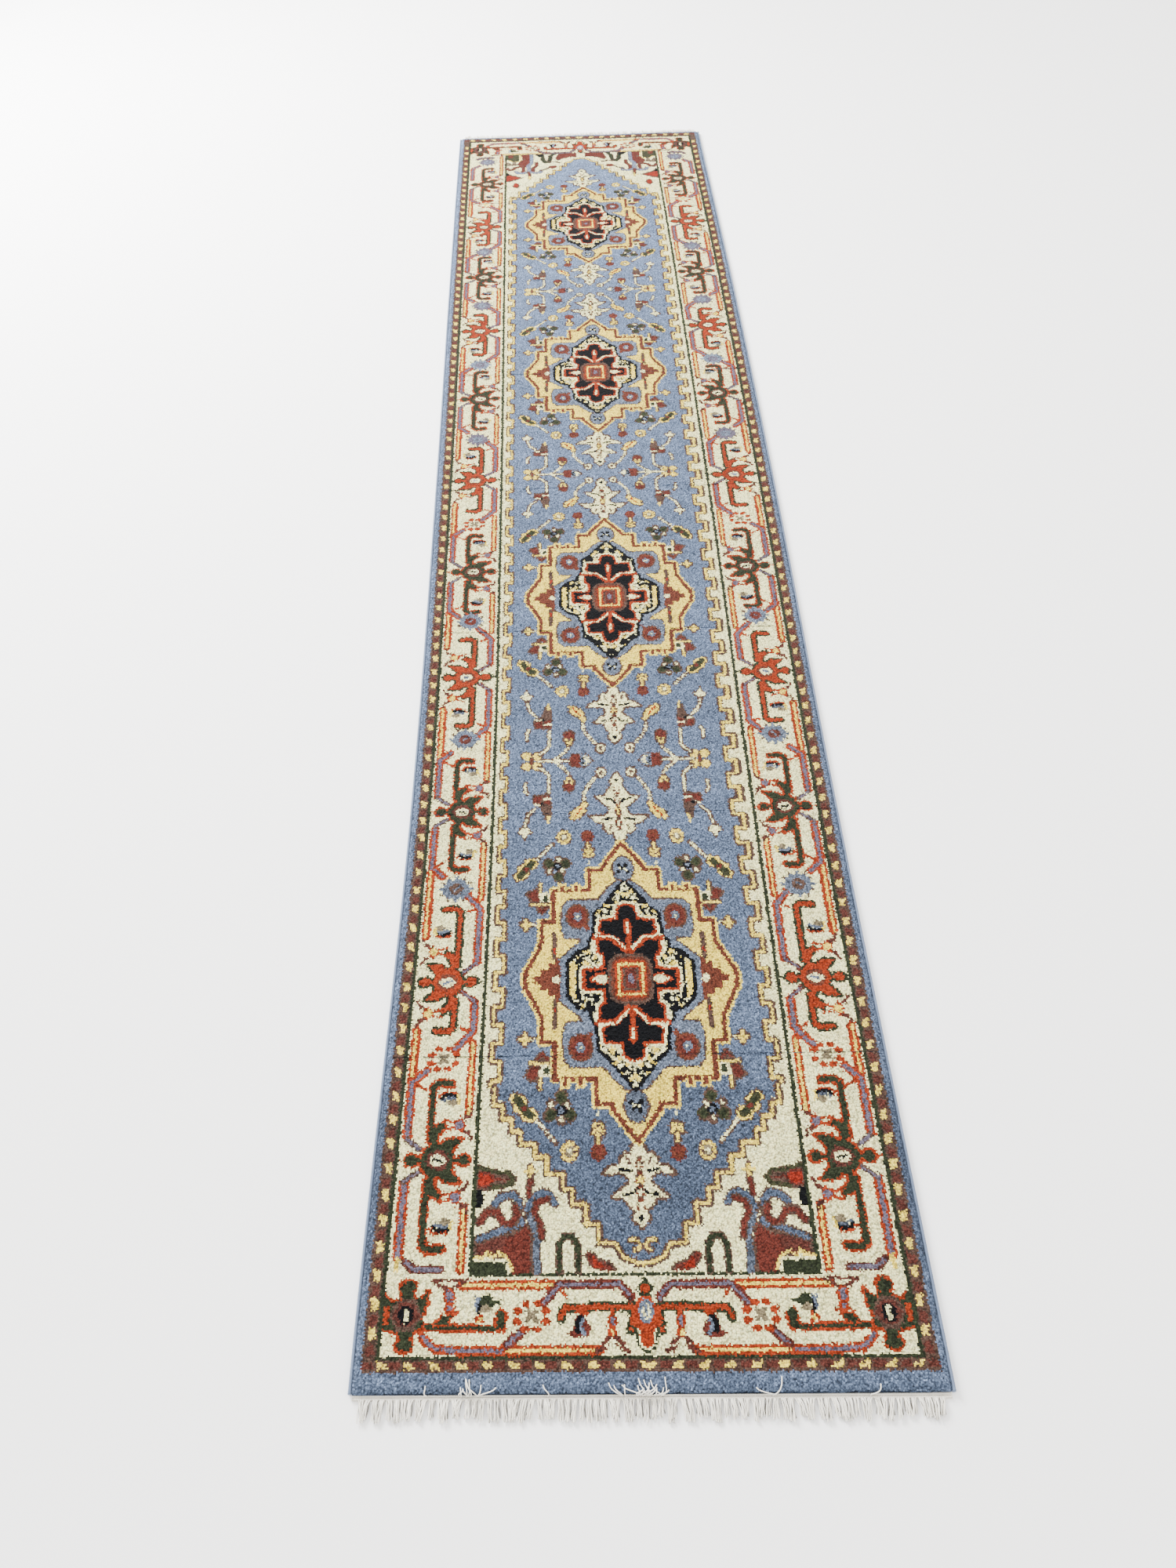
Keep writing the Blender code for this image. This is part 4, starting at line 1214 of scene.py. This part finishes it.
# ---- what repeats along the ends, made by geometry nodes ----
def strand_tree():
    """Nodes that turn each chain of edges into a round strand of the given thickness."""
    tree = bpy.data.node_groups.new("strands", "GeometryNodeTree")
    face = tree.interface
    face.new_socket("Geometry", in_out="INPUT", socket_type="NodeSocketGeometry")
    face.new_socket("Thickness", in_out="INPUT", socket_type="NodeSocketFloat")
    face.new_socket("Sides", in_out="INPUT", socket_type="NodeSocketInt")
    face.new_socket("Material", in_out="INPUT", socket_type="NodeSocketMaterial")
    face.new_socket("Geometry", in_out="OUTPUT", socket_type="NodeSocketGeometry")
    group_in = tree.nodes.new("NodeGroupInput")
    group_out = tree.nodes.new("NodeGroupOutput")
    curves = tree.nodes.new("GeometryNodeMeshToCurve")
    ring = tree.nodes.new("GeometryNodeCurvePrimitiveCircle")
    half = tree.nodes.new("ShaderNodeMath")
    half.operation = "MULTIPLY"
    half.inputs[1].default_value = 0.5
    tube = tree.nodes.new("GeometryNodeCurveToMesh")
    tube.inputs["Fill Caps"].default_value = True
    smooth = tree.nodes.new("GeometryNodeSetShadeSmooth")
    real = tree.nodes.new("GeometryNodeRealizeInstances")
    dress = tree.nodes.new("GeometryNodeSetMaterial")
    link = tree.links.new
    link(group_in.outputs["Geometry"], curves.inputs["Mesh"])
    link(group_in.outputs["Thickness"], half.inputs[0])
    link(half.outputs[0], ring.inputs["Radius"])
    link(group_in.outputs["Sides"], ring.inputs["Resolution"])
    link(curves.outputs["Curve"], tube.inputs["Curve"])
    link(ring.outputs["Curve"], tube.inputs["Profile Curve"])
    link(tube.outputs["Mesh"], smooth.inputs["Geometry"])
    link(smooth.outputs["Geometry"], real.inputs["Geometry"])
    link(real.outputs["Geometry"], dress.inputs["Geometry"])
    link(group_in.outputs["Material"], dress.inputs["Material"])
    link(dress.outputs["Geometry"], group_out.inputs["Geometry"])
    return tree


STRAND_TREE = strand_tree()


def strands(name, paths, thickness, sides, made):
    """Plain mesh of round strands along paths."""
    points, edges = [], []
    for path in paths:
        start = len(points)
        points += [tuple(float(x) for x in p) for p in path]
        edges += [(i, i + 1) for i in range(start, len(points) - 1)]
    data = bpy.data.meshes.new(name + "_paths")
    data.from_pydata(points, edges, [])
    guide = bpy.data.objects.new(name + "_paths", data)
    bpy.context.scene.collection.objects.link(guide)
    modifier = guide.modifiers.new("strands", "NODES")
    modifier.node_group = STRAND_TREE
    values = {"Thickness": thickness, "Sides": sides, "Material": made}
    for item in STRAND_TREE.interface.items_tree:
        if item.in_out == "INPUT" and item.name in values:
            modifier[item.identifier] = values[item.name]
    graph = bpy.context.evaluated_depsgraph_get()
    plain = bpy.data.meshes.new_from_object(guide.evaluated_get(graph), depsgraph=graph)
    plain.name = name
    thing = bpy.data.objects.new(name, plain)
    bpy.context.scene.collection.objects.link(thing)
    bpy.data.objects.remove(guide, do_unlink=True)
    return thing


def stray_strands(reach, noise):
    """Strands of the near fringe that are thrown back over the edge of the pile."""
    paths = []
    for tassel, count in STRAY_TASSELS:
        for _ in range(count):
            u = -reach + (tassel + noise.uniform(0.0, 1.0)) * 2 * reach / TASSELS
            back = noise.uniform(0.002, 0.017)
            aside = noise.normal(0.0, 0.010)
            curl = noise.uniform(-0.005, 0.005)
            path = []
            for s in np.linspace(0.0, 1.0, 11):
                bend = math.pi / 2 * s
                x = u + aside * s ** 1.5 + curl * math.sin(math.pi * s)
                y = HALF_LENGTH + STRAY_ROOT - (back + STRAY_ROOT) * (1 - max(math.cos(bend), 0.0) ** 0.5)
                z = 0.0042 + (PILE_TOP - 0.0014) * math.sin(bend) ** 0.5 - 0.0010 * s ** 4
                path.append((float(lay(x, np.array(-HALF_LENGTH))), -y, z))
            paths.append(path)
    return paths


def make_tassels(half, end):
    """Tassels of loose cotton strands, some lying under and some on top."""
    noise = np.random.default_rng(31 if end > 0 else 32)
    reach = HALF_WIDTH - SELVEDGE_WIDTH - FRINGE_INSET
    paths = []
    for k in range(TASSELS):
        u = -reach + (k + 0.5) * 2 * reach / TASSELS
        length = FRINGE_LENGTH * noise.uniform(0.80, 1.06)
        lean = noise.normal(0.0, 0.0030)
        for j in range(STRANDS):
            spread = 2 * j / (STRANDS - 1) - 1
            under = j % 4 == 1
            tip = length * noise.uniform(0.84, 1.0) * (0.84 if under else 1.0)
            across = spread * 0.0034 + noise.normal(0.0, 0.0010) + lean
            low = 0.0009 if under else noise.uniform(0.0020, 0.0044)
            lift = noise.uniform(0.0, 0.0004) if under else noise.uniform(0.0004, 0.0030)
            path = []
            for s in np.linspace(0.0, 1.0, 8):
                x = u + 0.0030 * spread * (1 - s) ** 2 + across * s ** 0.8
                x += 0.0005 * math.sin(7 * s + j + k)
                y = WEB_EDGE - 0.0012 + tip * s
                z = low + (0.0034 - low) * (1 - s) ** 6 + lift * math.sin(math.pi * min(s * 1.1, 1.0))
                path.append((float(lay(x, np.array(-end * HALF_LENGTH))), -end * y, z))
            paths.append(path)
    if end > 0:
        paths += stray_strands(reach, noise)
    return strands("tassels_" + half, paths, STRAND_THICKNESS, 5, COTTON)


def make_twined_rows(half, end):
    """Two rows of cords twined round each other along the web."""
    reach = HALF_WIDTH - SELVEDGE_WIDTH - 0.001
    rows = (HALF_LENGTH + TWINE_SETBACK + TWINE_WIDTH / 2, WEB_EDGE - TWINE_SETBACK - TWINE_WIDTH / 2)
    paths = []
    steps = 560
    pitch = 0.0064
    for row, v in enumerate(rows):
        for strand in (0, 1):
            path = []
            for i in range(steps + 1):
                u = -reach + 2 * reach * i / steps
                turn = 2 * math.pi * u / pitch * (1 if row else -1) + math.pi * strand
                y = v + 0.00062 * math.cos(turn)
                z = WEB_THICKNESS + 0.0012 + 0.00055 * math.sin(turn)
                path.append((float(lay(u, np.array(-end * v))), -end * y, z))
            paths.append(path)
    return strands("twined_rows_" + half, paths, 0.00135, 6, WEB_COTTON)


def make_web(half, end):
    """Flat-woven strip that ends the rug."""
    noise = np.random.default_rng(41 if end > 0 else 42)
    reach = HALF_WIDTH - SELVEDGE_WIDTH
    u1 = np.linspace(-reach, reach, 251)
    v1 = -end * np.linspace(HALF_LENGTH - 0.001, WEB_EDGE, 6)
    if end > 0:
        v1 = v1[::-1]
    v, u = np.meshgrid(v1, u1, indexing="ij")
    x = lay(u, v)
    points, faces = [], []
    rows, columns = u.shape
    top = WEB_THICKNESS + noise.uniform(-0.0001, 0.00015, u.shape)
    for height in (top, np.zeros(u.shape)):
        points += np.stack([x, v, height], axis=-1).reshape(-1, 3).tolist()
    size = rows * columns
    faces += grid_faces(rows, columns).tolist()
    faces += (grid_faces(rows, columns, True) + size).tolist()
    ring = list(range(columns))
    ring += [k * columns + columns - 1 for k in range(1, rows)]
    ring += [(rows - 1) * columns + k for k in range(columns - 2, -1, -1)]
    ring += [k * columns for k in range(rows - 2, 0, -1)]
    for a, b in zip(ring, ring[1:] + ring[:1]):
        faces.append((b, a, a + size, b + size))
    return solid("end_web_" + half + "_weave", points, faces, WEB_COTTON)


def belongs(piece, centre_y):
    """Ties a piece to its half of the rug; a piece that reaches the fold keeps its place baked in and is
    tied to neither half.
    """
    body = "near_half" if centre_y < 0 else "far_half"
    ys = [corner[1] for corner in piece.bound_box]
    if min(abs(min(ys)), abs(max(ys))) < 0.004:
        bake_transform(piece)
    else:
        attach(piece, body)


# the second value given to belongs is below zero for the near half and above it for the far one
pile = make_pile()
ground = make_ground()
selvedges = [make_selvedge(k) for k in range(SHEETS)]
for k, piece in enumerate(pile):
    belongs(piece, k - 3.5)
for k, piece in enumerate(ground):
    belongs(piece, k - 1.5)
for k, piece in enumerate(selvedges):
    belongs(piece, k - 1.5)

for half, end in HALVES:
    body = half + "_half"
    web = make_web(half, end)
    twine = make_twined_rows(half, end)
    tassels = make_tassels(half, end)
    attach(web, body)
    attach(twine, body)
    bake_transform(tassels)
    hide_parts("end_web_" + half)
    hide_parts("twined_row_inner_" + half, "twined_row_outer_" + half)
    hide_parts("fringe_" + half)
    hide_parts("foundation_" + half)
    for name in ("selvedge_wrap_left_", "selvedge_wrap_right_", "selvedge_core_left_",
                 "selvedge_core_right_"):
        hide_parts(name + half)
    panel = 0 if half == "near" else 7
    names = ["band_end_", "band_left_", "band_right_", "guard_stripe_end_", "guard_stripe_left_",
             "guard_stripe_right_", "border_end_", "border_left_", "border_right_", "spandrel_left_",
             "spandrel_right_", "inner_edge_left_", "inner_edge_right_", "field_left_", "field_right_"]
    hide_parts(*[name + half for name in names])
# each medallion, and a length of pile that it lies in
for k, panel in ((1, 1), (2, 2), (3, 4), (4, 6)):
    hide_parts("medallion_%d" % k)


# ---- floor, light and camera ----
def make_floor():
    """Pale floor, wide enough to fill the view."""
    made, _, shader = material("pale_floor", 0.85)
    shader.inputs["Base Color"].default_value = grey(0.95)
    far = FLOOR_HALF
    points = [(-far, -far, 0), (far, -far, 0), (far, far, 0), (-far, far, 0)]
    return solid("floor", points, [(0, 1, 2, 3)], made, smooth=False)


floor = make_floor()

world = bpy.data.worlds.new("soft_room")
bpy.context.scene.world = world
world.use_nodes = True
world.node_tree.nodes["Background"].inputs["Color"].default_value = (1.0, 0.985, 0.96, 1.0)
world.node_tree.nodes["Background"].inputs["Strength"].default_value = 2.6


def area_light(name, place, target, size, power):
    """Square lamp that points at a target."""
    lamp = bpy.data.lights.new(name, "AREA")
    lamp.shape = "SQUARE"
    lamp.size = size
    lamp.energy = power
    thing = bpy.data.objects.new(name, lamp)
    thing.location = place
    thing.rotation_euler = (Vector(target) - Vector(place)).to_track_quat("-Z", "Y").to_euler()
    bpy.context.scene.collection.objects.link(thing)


area_light("window", (-3.0, 2.4, 2.6), (0.0, 0.4, 0.0), 2.0, 1000.0)

camera_data = bpy.data.cameras.new("camera")
camera_data.sensor_fit = "VERTICAL"
camera_data.sensor_height = 36.0
camera_data.lens = 27.04
camera_data.shift_x = 0.0353
camera = bpy.data.objects.new("camera", camera_data)
pitch, yaw, roll = math.radians(50.92), math.radians(2.38), math.radians(2.92)
forward_tilt = Matrix.Rotation(math.pi / 2 - pitch, 4, "X")
heading = Matrix.Rotation(yaw, 4, "Z")
turn = Matrix.Rotation(-roll, 4, "Z")
camera.matrix_world = Matrix.Translation((-0.0945, -2.167, 1.636)) @ heading @ forward_tilt @ turn
bpy.context.scene.collection.objects.link(camera)
bpy.context.scene.camera = camera
